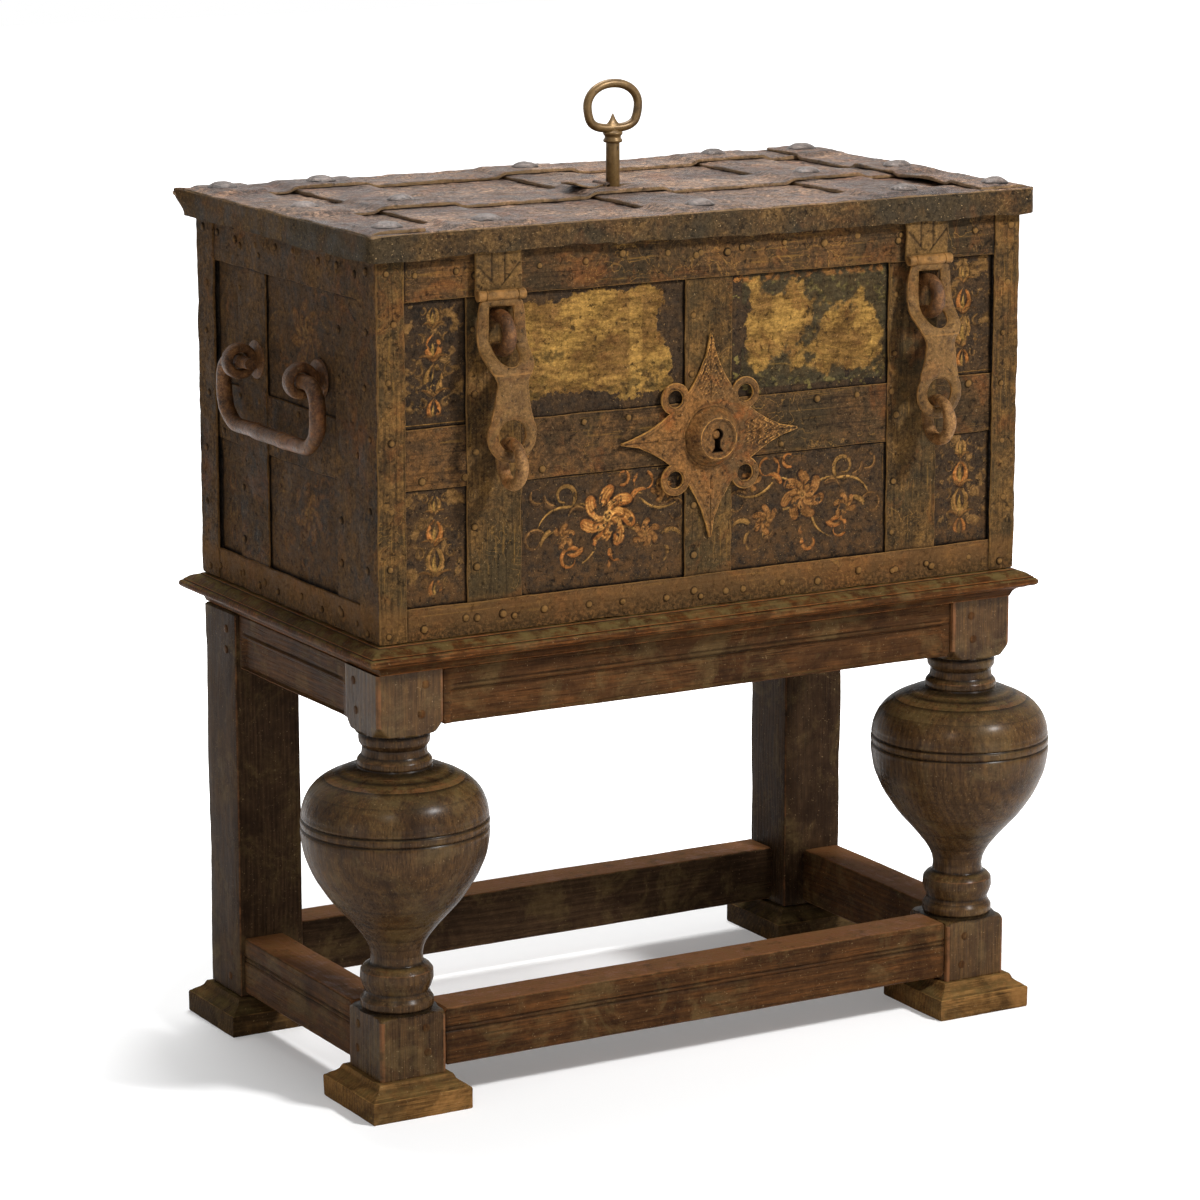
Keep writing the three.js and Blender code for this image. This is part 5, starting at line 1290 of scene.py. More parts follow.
def make_escutcheon():
    """The star plate: its outline, pierced lugs with raised rims, engraved scales and the domed boss."""
    place = on_wall("front")
    points = star_outline()

    def at_star(s, w, h):
        return place(s, STAR_Z + w, h + STAR_OUT)

    def from_lug(s, w):
        return np.hypot(np.abs(s) - LUG_PLACE, np.abs(w) - LUG_PLACE)

    def distance(s, w):
        lug = from_lug(s, w)
        gap = np.minimum(corners_distance(s, w, points), lug - LUG_RADIUS)
        gap = np.minimum(gap, box_distance(np.abs(s), np.abs(w), (20, 20), (37, 37), 4))
        return np.maximum(gap, LUG_HOLE - lug)

    def graved(s, w):
        long_way = np.maximum(np.abs(s), np.abs(w))
        side_way = np.minimum(np.abs(s), np.abs(w))
        row = (long_way + 5 * np.cos(side_way * 0.55)) / 7.6
        right_or_up = (w > np.abs(s)) | (s > np.abs(w))
        scales = ease(1 - np.abs(row - np.round(row)) * 4.6) * ease((long_way - 38) / 5)
        scales = scales * ease((17 - side_way) / 3)
        vein = ease(1.4 - side_way / 0.8) * ease((long_way - 36) / 6)
        inset = ridge(corners_distance(s, w, points), -4.5, 0.8) * (from_lug(s, w) > 18) * (long_way > 40)
        lines = scales * np.where(right_or_up, 1.0, 0.25) + 0.8 * vein + 0.6 * ridge(np.hypot(s, w), 34, 0.9)
        return np.clip(lines + 0.5 * inset, 0, 1)

    def relief(s, w):
        lug = from_lug(s, w)
        swell = 1.2 * np.exp(-(np.hypot(s, w) / 46) ** 4)
        raised = 1.4 * ridge(lug, 13.0, 2.4) - 0.5 * ease((18 - lug) / 4) + swell
        return raised - 0.9 * graved(s, w) + ripples(np.stack([s, w], -1), 71, (26, 0.5), (9, 0.2))

    # painted shade in the engraved lines and round the lug holes, and a painted shadow filling the keyhole
    def dark(s, w):
        keyhole = ease((3 - keyhole_distance(s, w)) / 3)
        return np.clip(0.8 * graved(s, w) + keyhole + ease((LUG_HOLE + 1.6 - from_lug(s, w)) / 1.6), 0, 1)

    reach = STAR_HALF_HEIGHT + 4, STAR_HALF_WIDTH + 4
    star = plate(distance, (-reach[1], -reach[0]), (reach[1], reach[0]), 1.15, 3.0, at_star, bevel=0.5,
                 relief=relief, wear=3.0, nook=dark)
    s, w = star.points[:, 0], star.points[:, 2] - STAR_Z
    far = np.maximum(np.abs(s), np.abs(w))
    nearer = 1 - 2.4 / far
    crests = 1.2 * graved(s * nearer, w * nearer) * (far > 38) * (1 - graved(s, w))
    star.marks["edge"] = np.maximum(star.marks["edge"], crests)

    def boss_distance(s, w):
        return np.maximum(np.hypot(s, w) - BOSS_RADIUS, -keyhole_distance(s, w))

    def boss_relief(s, w):
        far = np.hypot(s, w) / BOSS_RADIUS
        shares = (0, 0.56, 0.6, 0.64, 0.7, 0.76, 0.84, 0.93, 1)
        dome = np.interp(far, shares, (12.6, 12.8, 14.0, 15.0, 14.6, 12.6, 8.8, 4.2, 0))
        studs = ease(1.6 - np.hypot((far - 0.45) / 0.05, np.sin(np.arctan2(w, s) * 4 + 0.4) / 0.4))
        dome = dome + studs * (np.abs(s) > 6) - 0.5 * ridge(far, 0.88, 0.02)
        return dome + ripple(np.stack([s, w], -1), 75, 12, 0.15)

    thick = 1.6
    reach = BOSS_RADIUS + 1
    boss = plate(boss_distance, (-reach, -reach), (reach, reach), 1.1, thick,
                 lambda s, w, h: at_star(s, w, h + thick), bevel=0.5, relief=boss_relief, wear=2.0)
    s, w = boss.points[:, 0], boss.points[:, 2] - STAR_Z
    rim = np.hypot(s, w) / BOSS_RADIUS
    hole = keyhole_distance(s, w)
    boss.marks["edge"] = np.maximum(boss.marks["edge"], ridge(rim, 0.66, 0.035)) * ease(hole / 2)
    # painted shade round the dome's foot and its inner ring, and a painted shadow in the keyhole
    foot = 0.6 * ridge(rim, 0.575, 0.02) + 0.8 * ease((rim - 0.95) / 0.05)
    boss.marks["nook"] = np.maximum(foot, ease((0.8 - hole) / 0.8))
    profile = [(4.8, 0), (5.0, 11.6), (4.6, 13.0), (3.4, 14.0), (1.4, 14.4)]
    pin = turned(profile, place(0.0, STAR_Z + HOLE_UP, 2.0), (0, -1, 0), 20).worn(0.5)
    profile = [(3.4, -0.6), (3.1, 0.5), (2.0, 1.2), (0.7, 1.5)]
    spots = ((0, 62), (0, -58), (62, 0), (-60, 0), (30, 8), (-32, -6))
    heads = [turned(profile, at_star(a, b, thick), (0, -1, 0), 12) for a, b in spots]
    finish = "star_iron", "strongbox", "rust_iron", ["escutcheon"]
    mesh_piece("star_plate", star, *finish, crease=32)
    mesh_piece("keyhole_boss", together([boss, pin]), *finish)
    mesh_piece("star_rivets", together(heads), *finish)


def half_round(middle, radius, start, stop, count=24):
    """An arc of a circle from start to stop in radians."""
    angle = np.linspace(start, stop, count)
    return np.stack([middle[0] + radius * np.cos(angle), middle[1] + radius * np.sin(angle)], -1)


def make_staples():
    """The two staples that the hasps hang over: thick bars bent to a half round, thinner where they enter."""
    place = on_wall("front")
    for i, (side, x) in enumerate(HASP_PLACES.items()):
        arc = half_round((STAPLE_OUT, 0.0), STAPLE_RADIUS, math.pi / 2, -math.pi / 2)
        line = np.vstack([[(-2.0, STAPLE_RADIUS)], arc, [(-2.0, -STAPLE_RADIUS)]])
        line = resampled(line, 1.6, 6)
        path = place(x, STAPLE_Z + line[:, 1], line[:, 0])
        share = np.linspace(-1, 1, len(path))
        radius = 7.2 - 1.6 * np.abs(share) ** 6 + 0.25 * np.sin(share * 7 + i)
        bar = tube(path, radius, 500 + i, uneven=0.25)
        mesh_piece(f"staple_{side}", bar, "end_forged_iron", "strongbox", "rust_iron", [f"hasp_loop_{side}"],
                   crease=60)


BAIL_Z = 250.0
BAIL_OUT = 20.0
EYE_PLACE = 72.0
EYE_RADIUS = 13.8
SHANK_HALF = (9.5, 6.0, 9.5)


def bail_line():
    """The handle's middle line in its plane: ends turned in, round shoulders, two arms, a rounded grip."""
    end = [(-46, 0), (-88, 0)]
    shoulder = half_round((-88, -22), 22, math.pi / 2, math.pi, 12)
    grip = half_round((-76, -34), 34, math.pi, 1.5 * math.pi, 16)
    half = np.vstack([end, shoulder, grip])
    return resampled(np.vstack([half, half[::-1] * (-1, 1)]), 2.0, 10)


def pressed(wave, size, power):
    """A wave of sine or cosine pressed towards its square: size * sign * |wave|^power."""
    return size * np.sign(wave) * np.abs(wave) ** power


def make_handles():
    """A bail and two eyes on each end: the bail's bar thins towards its ends, the eyes are discs."""
    line = bail_line()
    share = np.abs(np.linspace(-1, 1, len(line)))
    radius = 8.0 - 2.6 * ease((share - 0.86) / 0.14) + 0.35 * np.sin(share * 13)
    for i, (side, across) in enumerate((("left", -1), ("right", 1))):
        x = across * (HALF_WIDTH + BAIL_OUT)
        path = np.stack([np.full(len(line), x), line[:, 0], BAIL_Z + line[:, 1]], -1)
        bar = tube(path, radius, 520 + i, uneven=0.35)
        mesh_piece(f"bail_{side}", bar, "end_forged_iron", f"{side}_bail", "rust_iron", [f"handle_{side}"],
                   crease=60)
        for end, y in (("front", -EYE_PLACE), ("back", EYE_PLACE)):
            around = circle(44, EYE_RADIUS)
            ring = np.stack([x + around[:, 0], np.full(44, y), BAIL_Z + around[:, 1]], -1)
            wave = circle(20)
            section = np.stack([pressed(wave[:, 0], 6.3, 0.45), pressed(wave[:, 1], 5.0, 0.6)], -1)
            eye = carried(ring, section, (0, 1, 0), closed=True)
            eye.points += ripple(eye.points, 540 + i, 14, 0.25)[:, None] * np.array([0.4, 1.0, 0.4])
            deep, wide, tall = SHANK_HALF
            ends = sorted((across * (HALF_WIDTH - 3), across * (HALF_WIDTH + BAIL_OUT - deep)))
            shank = block((ends[0], y - wide, BAIL_Z - tall), (ends[1], y + wide, BAIL_Z + tall),
                          3.0, 2.2, 550 + i, 0.3, axis=0)
            dome = [(21, -2), (20, 0.6), (15, 1.8), (10, 2.2)]
            spot = (across * (HALF_WIDTH + 1.0), y, BAIL_Z)
            boss = turned(dome, spot, (across, 0, 0), 28, (0, 1, 0))
            mesh_piece(f"eye_{side}_{end}", together([eye, shank, boss]), "end_forged_iron", "strongbox",
                       "rust_iron", [f"handle_eye_{side}_{end}"])


# The lid

RIM_MIDDLE = 396.0
RIM_INSET = 2.2
RIM_ROUNDING = 6.0
FLAP_X = -14.0
FLAP_BARREL_Z = 419.5
HINGE_Z = 385.0
HINGE_Y = 230.0
HINGE_HALF = 14.0


def along_line(line, soften):
    """at(s): the place and the upward normal of a drawn line at the distance s along it.

    Returned with it are the distances and the places of the line's fine points.
    """
    fine = resampled(line, 1.0, soften)
    run = np.concatenate([[0], np.cumsum(np.linalg.norm(np.diff(fine, axis=0), axis=1))])
    ways = np.gradient(fine, axis=0)
    ways /= np.linalg.norm(ways, axis=1, keepdims=True)
    normals = np.stack([-ways[:, 1], ways[:, 0]], -1)

    def at(s):
        return [[np.interp(s, run, values[:, i]) for i in (0, 1)] for values in (fine, normals)]

    return at, run, fine


def keyway_distance(x, y):
    """Negative in the lid's keyhole: a round hole for the shaft and a slot for the bit."""
    slot = box_distance(x, y, (0, LOCK_Y - 3.6), (22.4, LOCK_Y + 3.6), 0.5)
    return np.minimum(np.hypot(x, y - LOCK_Y) - 8.4, slot)


def make_lid_shell():
    """The lid's plate, pierced for the key, and its turned-down rim, whose edges wander.

    The rim's lower edge is bent up along the left of the front. The back left corner is drawn out to a beak,
    and the front left one is beaten down.
    """

    def flat_place(s, w, h):
        return np.stack(np.broadcast_arrays(s, w, h + (LID_TOP + LID_INSIDE) / 2), -1)

    def distance(s, w):
        half = np.array([LID_HALF_WIDTH - 1, LID_HALF_DEPTH - 1])
        gap = box_distance(s, w, -half, half, 4) + ripple(np.stack([s, w], -1), 600, 80, 0.5)
        return np.maximum(gap, -keyway_distance(s, w))

    wide, deep = LID_HALF_WIDTH + 2, LID_HALF_DEPTH + 2
    top = plate(distance, (-wide, -deep), (wide, deep), 4.0, LID_TOP - LID_INSIDE, flat_place, bevel=1.2,
                relief=hammered(601, 0.45, 0.2), wear=4.0)
    half = np.array([LID_HALF_WIDTH - RIM_INSET, LID_HALF_DEPTH - RIM_INSET])
    corners = []
    for k, signs in enumerate(((1, 1), (-1, 1), (-1, -1), (1, -1))):
        corners.append(half_round(signs * (half - RIM_ROUNDING), RIM_ROUNDING, k * math.pi / 2,
                                  (k + 1) * math.pi / 2, 7))
    loop = resampled(np.vstack(corners + [corners[0][:1]]), 4.0, 0)[:-1]
    path = np.column_stack([loop, np.full(len(loop), RIM_MIDDLE)])
    down = np.linspace(-10.6, 13.4, 9)
    across = np.concatenate([down, [14.9, 15.6, 15.6, 14.9], down[::-1]])
    rise = np.concatenate([np.full(9, RIM_INSET), [1.9, 1.0, -1.0, -1.9], np.full(9, -RIM_INSET)])
    rim = carried(path, np.stack([across, rise], -1), (0, 0, 1), closed=True)
    low = ease((RIM_MIDDLE - rim.points[:, 2]) / 10)
    rim.points[:, 2] += low * ripples(rim.points[:, :2], 610, (90, 1.0), (22, 0.45))
    flat = rim.points[:, :2] / half
    facing = np.where(np.abs(flat) > np.abs(flat[:, ::-1]), np.sign(flat), 0)
    shift = np.maximum(ripples(rim.points, 612, (70, 0.6), (18, 0.3)), 0.0) + 0.2
    rim.points[:, :2] += facing * shift[:, None]
    x, y, z = rim.points.T
    rim.marks["edge"] = np.clip(1 - np.minimum(np.abs(z - 386), np.abs(z - 411)) / 2.6, 0, 1)
    rim.marks["nook"] = np.zeros(len(rim.points))
    rim.points[:, 2] += low * 3.8 * ridge(x, -165, 130) * (y < 0)
    for shape in (top, rim):
        x, y, z = shape.points.T
        beak = np.clip(1 - np.hypot(x + LID_HALF_WIDTH, y - LID_HALF_DEPTH) / 34, 0, 1) ** 2
        beak = beak * ease((z - 386) / 22)
        beaten = np.clip(1 - np.hypot(x - 14 * beak + LID_HALF_WIDTH, y + LID_HALF_DEPTH) / 22, 0, 1) ** 2
        shape.points[:, 0] -= 14 * beak
        shape.points[:, 2] += 4 * beak - 2.5 * beaten
    mesh_piece("lid_plate", top, "lid_top_iron", "lid", "lid_iron", ["lid_shell"])
    mesh_piece("lid_rim", rim, "lid_rim_iron", "lid", "lid_iron", ["lid_shell"])


def joggled(start, stop, crossings):
    """A line at the lower straps' height that steps up to the upper straps' over each crossing."""
    line = [(start, LOWER_STRAP)]
    for a, b in crossings:
        line += [(a - JOGGLE, LOWER_STRAP), (a, UPPER_STRAP), (b, UPPER_STRAP), (b + JOGGLE, LOWER_STRAP)]
    return line + [(stop, LOWER_STRAP)]


def lid_strap(line, across_place, width, along_x, seed, cut=False, raised_end=0.0, over=(), outer=0):
    """A strap over the lid: a flat iron whose s runs down the joggled line and whose w is the way across."""
    at, run, fine = along_line(line, 7)

    def place(s, w, h):
        (along, height), (lean, stand) = at(s)
        lifting = raised_end * ridge(s, 105, 48) * ease((12 - w) / 34)
        beaten = 0.9 * ease((w * outer - width / 2 + 13) / 12)
        height = height + (LOWER_STRAP + 0.9 - height) * beaten
        a, b, c = along + lean * h, across_place + w + 0 * s, height + stand * h + lifting
        return np.stack([a, b, c] if along_x else [b, a, c], -1)

    def hole(s, w):
        along = np.interp(s, run, fine[:, 0])
        across = across_place + w
        return keyway_distance(along, across) if along_x else keyway_distance(across, along)

    # painted shade on this strap along the edges of the straps that cross over it
    def nook(s, w):
        along = np.interp(s, run, fine[:, 0])
        reach = 4.0
        gap = np.full(np.shape(s), reach)
        for a, b in over:
            gap = np.minimum(gap, np.minimum(np.abs(along - a), np.abs(along - b)))
        return (1 - gap / reach) ** 1.5

    return flat_iron((0.0, -width / 2), (run[-1], width / 2), place, seed, 3.8, step=2.4, rounding=2.0,
                     cut=hole if cut else None, nook=nook, wear=1.6)


def make_lid_straps():
    """Straps over the lid, and domed rivets at their crossings.

    Long straps step over the cross straps, and end straps lie over both. The outer cross straps turn down at
    the back into the hinges' knuckles; the middle long strap carries the keyhole flap's.
    """
    lid = "lid_top_iron", "lid", "lid_iron"
    half = CROSS_WIDTH / 2 + 0.3
    reach = LID_HALF_WIDTH - STRAP_STOP
    inner = reach - END_WIDTH
    long_line = joggled(-reach, reach, [(x - half, x + half) for x in CROSS_PLACES])
    for i, (name, (y, width)) in enumerate(LONG_STRAPS.items()):
        outer = {"front": -1, "middle": 0, "back": 1}[name]
        parts = [lid_strap(long_line, y, width, True, 640 + 10 * i, cut=name == "middle",
                           over=[(-inner, inner)], outer=outer)]
        if name == "middle":
            barrel = (FLAP_X, LOCK_Y, FLAP_BARREL_Z), (0, 1, 0)
            for low, high in ((-14.8, -9.8), (9.8, 14.8)):
                parts.append(turned([(2.5, low), (2.6, (low + high) / 2), (2.5, high)], *barrel, 16))
                corners = (FLAP_X - 2.6, LOCK_Y + low, 414), (FLAP_X + 2.6, LOCK_Y + high, FLAP_BARREL_Z)
                parts.append(block(*corners, 2.0, 0.4, 3, 0.0))
            parts.append(turned([(1.2, -14.6), (1.2, 14.6)], *barrel, 12))
        mesh_piece(f"lid_long_strap_{name}", together(parts), *lid, [f"long_strap_{name}"])
    depth = LID_HALF_DEPTH - STRAP_STOP
    spans = [(y - width / 2, y + width / 2) for y, width in LONG_STRAPS.values()]
    for i, (name, x) in enumerate(zip(("left", "middle", "right"), CROSS_PLACES)):
        hinged = name != "middle"
        back = LID_HALF_DEPTH + 2.3 if hinged else depth
        line = [(-depth, LOWER_STRAP), (back, LOWER_STRAP)] + [(back, 394.5)] * hinged
        parts = [lid_strap(line, x, CROSS_WIDTH, False, 680 + 10 * i, cut=not hinged, over=spans)]
        if hinged:
            parts.append(block((x - HINGE_HALF, LID_HALF_DEPTH + 0.4, HINGE_Z),
                               (x + HINGE_HALF, LID_HALF_DEPTH + 4.3, 405), 4.0, 0.6, 5, 0.1))
            knuckle = [(4.5, -14), (7.6, -14), (8.0, -13.4), (8.0, 13.4), (7.6, 14), (4.5, 14)]
            parts.append(turned(knuckle, (x, HINGE_Y, HINGE_Z), (1, 0, 0), 28, (0, 1, 0)))
        mesh_piece(f"lid_cross_strap_{name}", together(parts), *lid, [f"cross_strap_{name}"])
    line = joggled(-depth, depth, [(low - 0.3, high + 0.3) for low, high in spans])
    line = [(5 - depth, UPPER_STRAP - 0.4)] + line[3:-3] + [(depth - 5, UPPER_STRAP - 0.4)]
    end_x = reach - END_WIDTH / 2
    for i, (name, across) in enumerate((("left", -1), ("right", 1))):
        strap = lid_strap(line, across * end_x, END_WIDTH, False, 720 + 10 * i,
                          raised_end=5.0 if across > 0 else 0.0, outer=across)
        mesh_piece(f"lid_end_strap_{name}", strap, *lid, [f"end_strap_{name}"])
    draw = np.random.default_rng(77)
    heads = []
    profile = [(1.0, -0.6), (0.99, 0.06), (0.9, 0.3), (0.74, 0.58), (0.54, 0.8), (0.32, 0.93), (0.12, 0.99)]
    for x in (-end_x, *CROSS_PLACES, end_x):
        for name, (y, _) in LONG_STRAPS.items():
            if x == 0 and name == "middle":
                continue
            size = LID_RIVET * draw.uniform(1.02, 1.16)
            lift = 0.6 * (x == end_x and name == "front")
            spot = (x + draw.uniform(-3, 3), y + draw.uniform(-3, 3), UPPER_STRAP + 1.9 + lift)
            head = turned(np.array(profile) * (size, 5.8), spot, count=28)
            # painted shade round the foot of each rivet
            head.marks["nook"] = (head.points[:, 2] < spot[2] + 0.9) * 0.8
            head.points += ripple(head.points, 780, 12, 0.25)[:, None]
            heads.append(head)
    mesh_piece("lid_rivets", together(heads), "lid_rivet_iron", "lid", "lid_iron")


def make_flap():
    """The flap over the keyhole: a thin tongue, rounded and curled up at its free end, on a small knuckle."""
    length, half, knuckle = 46.0, 16.0, 9.5

    def place(s, w, h):
        s, w, h = np.broadcast_arrays(s, w, h)
        curl_up = 4.2 * ease((s - length * 0.45) / (length * 0.55)) ** 1.3 * (1 - 0.1 * w / half)
        wave = 0.4 * np.sin(w * 0.16 + s * 0.08)
        return np.stack([FLAP_X - s, LOCK_Y + w, FLAP_BARREL_Z - 1.1 + h + curl_up + wave * ease(s / 20)], -1)

    def distance(s, w):
        body = box_distance(s, w, (4, -half), (length, half), half - 1)
        neck = box_distance(s, w, (0.5, -knuckle), (22, knuckle), 0.5)
        return np.minimum(body, neck) + ripple(np.stack([s, w], -1), 91, 16, 0.5)

    tongue = plate(distance, (0, -half - 2), (length + 2, half + 2), 1.6, 2.2, place, bevel=0.5,
                   relief=hammered(92, 0.2, 0.1))
    barrel = turned([(1.7, -knuckle), (2.6, -knuckle), (2.6, knuckle), (1.7, knuckle)],
                    (FLAP_X, LOCK_Y, FLAP_BARREL_Z), (0, 1, 0), 16)
    mesh_piece("keyhole_flap", together([tongue, barrel]), "lid_top_iron", "flap", "lid_iron",
               ["keyhole_cover"])


# Down the hasp from its hinge: half widths, and how far its middle stands out from the wall
HASP_DROPS = (0, 3, 7.5, 16.6, 30, 45, 57, 65, 72, 78, 83, 88, 103, 124, 144, 160)
HASP_HALVES = (17.5, 17.5, 24, 26, 27, 28, 28.2, 27, 24, 20.2, 17.8, 17.2, 19.4, 24, 26.6, 24.5)
KNEE_DROPS = (-8, 0, 38, 46, 54, 66, 74, 84, 138, 170)
KNEE_OUTS = (14.5, 14.5, 14.6, 16, 20.5, 35, 38.3, 38, 36, 35.6)
SLOT_LOW = 55.5
SLOT_RADIUS = 14.0
HASP_EYE = 138.0
HASP_EYE_RADIUS = 15.5
FOLD = 76.0
RING_RADIUS = 20.9
RING_OUT = 36.0
RING_Z = 178.25


def hasp_hinge(place, x, side, seed):
    """A hinge plate hung from the lid, with grooves and a chevron engraved on it, and its two knuckles."""

    def graved(s, w):
        lines = (ridge(s, -8, 1.1) + ridge(s, 7, 1.1)) * (w > 358)
        for turn in (-0.95, 0.9):
            lines = lines + ridge(s, turn * (w - 350), 1.2) * (w > 353) * (w < 376)
        return 0.85 * np.clip(lines, 0, 1)

    def relief(s, w):
        return -0.7 * graved(s, w) + hammered(seed, 0.3)(s, w)

    def distance(s, w):
        return box_distance(s, w, (-26, 344), (26, 402.4), 1.5) + ripple(np.stack([s, w], -1), seed, 40, 0.4)

    # the engraved lines also carry painted shade
    hung = plate(distance, (-28, 342), (28, 404), 1.2, 3.8, lambda s, w, h: place(x + s, w, h + 8.7),
                 relief=relief, nook=graved)
    knuckles = []
    for low, high in ((-27.0, -17.8), (17.8, 27.0)):
        barrel = [(3.0, low), (4.6, low), (5.3, low + 0.7), (5.3, high - 0.7), (4.6, high), (3.0, high)]
        knuckle = turned(barrel, place(x, HASP_BARREL_Z, HASP_BARREL_OUT), (1, 0, 0), 24, (0, 0, 1)).worn(0.9)
        knuckle.points += ripple(knuckle.points, seed + 3, 9, 0.2)[:, None]
        knuckles.append(knuckle)
    replaced = "lid", "strap_iron", [f"hasp_plate_{side}"]
    mesh_piece(f"hasp_hinge_{side}", hung, "hasp_plate_iron", *replaced)
    mesh_piece(f"hasp_knuckles_{side}", together(knuckles), "forged_iron", *replaced)


def hasp(place, x, side, seed):
    """A hasp bent at the knee: its width follows the drop from the hinge; a slot and an eye pierce it."""
    drop = np.arange(-8, 170.1, 0.5)
    out = np.interp(drop, KNEE_DROPS, KNEE_OUTS)
    out = np.convolve(np.pad(out, 8, mode="edge"), np.ones(17) / 17, mode="valid")
    steep = np.gradient(out, drop)

    def bent(s, w, h):
        lean = np.interp(s, drop, steep)
        long_side = np.hypot(1, lean)
        return place(x + w, HASP_BARREL_Z - s + h * lean / long_side, np.interp(s, drop, out) + h / long_side)

    def distance(s, w):
        body = np.maximum(np.abs(w) - np.interp(s, HASP_DROPS, HASP_HALVES), np.maximum(1.0 - s, s - 150))
        eye = np.hypot(w, s - HASP_EYE)
        slot = np.where(s < SLOT_LOW, np.maximum(np.abs(w) - SLOT_RADIUS, 11 - s),
                        np.hypot(w, s - SLOT_LOW) - SLOT_RADIUS)
        gap = np.maximum(np.maximum(np.minimum(body, eye - 27.6), -slot), HASP_EYE_RADIUS - eye)
        return gap + ripple(np.stack([s, w], -1), seed + 5, 30, 0.3)

    def relief(s, w):
        crown = 1.7 * ease(-distance(s, w) / 8) - 1.0
        return crown + 0.8 * ridge(s, FOLD, 2.2) + hammered(seed + 6, 0.25, 0.1)(s, w)

    strip = plate(distance, (-1, -32), (168, 32), 1.5, 5.0, bent, bevel=1.1, relief=relief, wear=3.5)
    y, z = strip.points.T[1:]
    fold = ridge(HASP_BARREL_Z - z, FOLD, 2.4) * (y < -238)
    strip.marks["edge"] = np.maximum(strip.marks["edge"], fold)
    barrel = [(3.0, -17.4), (5.0, -17.4), (5.5, -16.8), (5.5, 16.8), (5.0, 17.4), (3.0, 17.4)]
    knuckle = turned(barrel, place(x, HASP_BARREL_Z, HASP_BARREL_OUT), (1, 0, 0), 24, (0, 0, 1)).worn(0.9)
    mesh_piece(f"hasp_{side}_forged", together([strip, knuckle]), "forged_iron", f"{side}_hasp", "rust_iron",
               [f"hasp_{side}"], crease=45)


def hasp_ring(x, side, seed):
    """The ring in a hasp's round eye, worn thin where it hangs."""
    angle = np.linspace(0, TURN, 56, endpoint=False)
    round_it = circle(56, RING_RADIUS)
    path = np.stack([np.full(56, x), round_it[:, 0] - HALF_DEPTH - RING_OUT, round_it[:, 1] + RING_Z], -1)
    radius = 6.5 - 0.7 * np.clip(np.cos(angle - math.pi / 2 - 0.3), 0, 1) ** 4
    bar = tube(path, radius, seed, closed=True)
    mesh_piece(f"ring_{side}_forged", bar, "rusty_iron", f"{side}_ring", "rust_iron", [f"pull_ring_{side}"],
               crease=60)


def make_hasps():
    """Hinge plates with their knuckles, hasps and rings."""
    place = on_wall("front")
    for i, (side, x) in enumerate(HASP_PLACES.items()):
        seed = 800 + 20 * i
        hasp_hinge(place, x, side, seed)
        hasp(place, x, side, seed)
        hasp_ring(x, side, seed + 9)


def make_key():
    """The key: turned shaft and collar, an oval bow bent from round bar, a cusp inside it and a plain bit."""
    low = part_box("key")[0].z / MM - CHEST[2]
    profile = [(3.0, low), (6.9, low + 0.4), (7.5, low + 1.2), (7.3, 458), (7.3, 461.4), (9.6, 462.2),
               (10.3, 463.6), (9.8, 465.2), (8.8, 466.2), (8.6, 468.2), (9.4, 469.6), (10.4, 470.6),
               (10.5, 472.2), (9.8, 473.2), (7.0, 473.8), (4.6, 475.4), (4.0, 478.0)]
    shaft = turned(profile, (0, LOCK_Y, 0), count=40)
    bar = 4.7
    angle = np.linspace(0, TURN, 181) - math.pi / 2
    power = 2 / (2.1 + 0.9 * ease(-1.4 * np.sin(angle)))
    across = pressed(np.cos(angle), 35.4 - bar, power)
    loop = np.stack([across, 500.4 + pressed(np.sin(angle), 23.5, power)], -1)
    loop = resampled(loop, 1.8, 2)[:-1]
    path = np.stack([loop[:, 0], np.full(len(loop), LOCK_Y), loop[:, 1]], -1)
    ring = tube(path, bar, 940, 24, closed=True, uneven=0.03, side=(0, 1, 0))
    cusp = turned([(10.5, 477.0), (10.0, 479.6), (7.6, 481.4), (5.2, 483.6), (3.4, 486.2), (2.1, 489.0),
                   (1.0, 491.4), (0.4, 492.2)], (0, 0, 0), count=28)
    cusp.points[:, 1] = cusp.points[:, 1] * 0.42 + LOCK_Y
    bit = block((0, LOCK_Y - 2.4, low + 0.6), (21, LOCK_Y + 2.4, low + 7.4), 3.0, 0.5, 7, 0.0, axis=0)
    mesh_piece("lid_key", together([shaft, ring, cusp, bit]), "key_bronze", "lid_key", "key_iron",
               ["key"], crease=50)


# The stand

LEG_X = 346.5
LEG_Y = 166.5
BLOCK = 75.0
HALF_BLOCK = BLOCK / 2
FOOT_TOP = 36.5
POST_BOTTOM = FOOT_TOP + 0.3
LOW_BLOCK_TOP = 103.5
HIGH_BLOCK_BOTTOM = 395.7
FRAME_TOP = 461.7
BOARD_TOP = 493.0
BULB = 97.0
# The turned part of a front leg: (radius as a share of BULB, height as a share of the way between its blocks)
LEG_SHARES = (
    (0.37, 0), (0.39, 0.014), (0.39, 0.034), (0.355, 0.052), (0.34, 0.065), (0.365, 0.084),
    (0.39, 0.11), (0.385, 0.14), (0.345, 0.156), (0.285, 0.165), (0.275, 0.195), (0.29, 0.225),
    (0.345, 0.262), (0.5, 0.325), (0.7, 0.398), (0.87, 0.485), (0.965, 0.56), (1, 0.63),
    (0.998, 0.652), (0.972, 0.658), (0.998, 0.665), (0.998, 0.684), (0.972, 0.69), (0.995, 0.697),
    (0.975, 0.74), (0.9, 0.791), (0.76, 0.833), (0.55, 0.862), (0.39, 0.873), (0.4, 0.884),
    (0.395, 0.9), (0.35, 0.918), (0.34, 0.944), (0.375, 0.962), (0.38, 0.982), (0.36, 1),
)


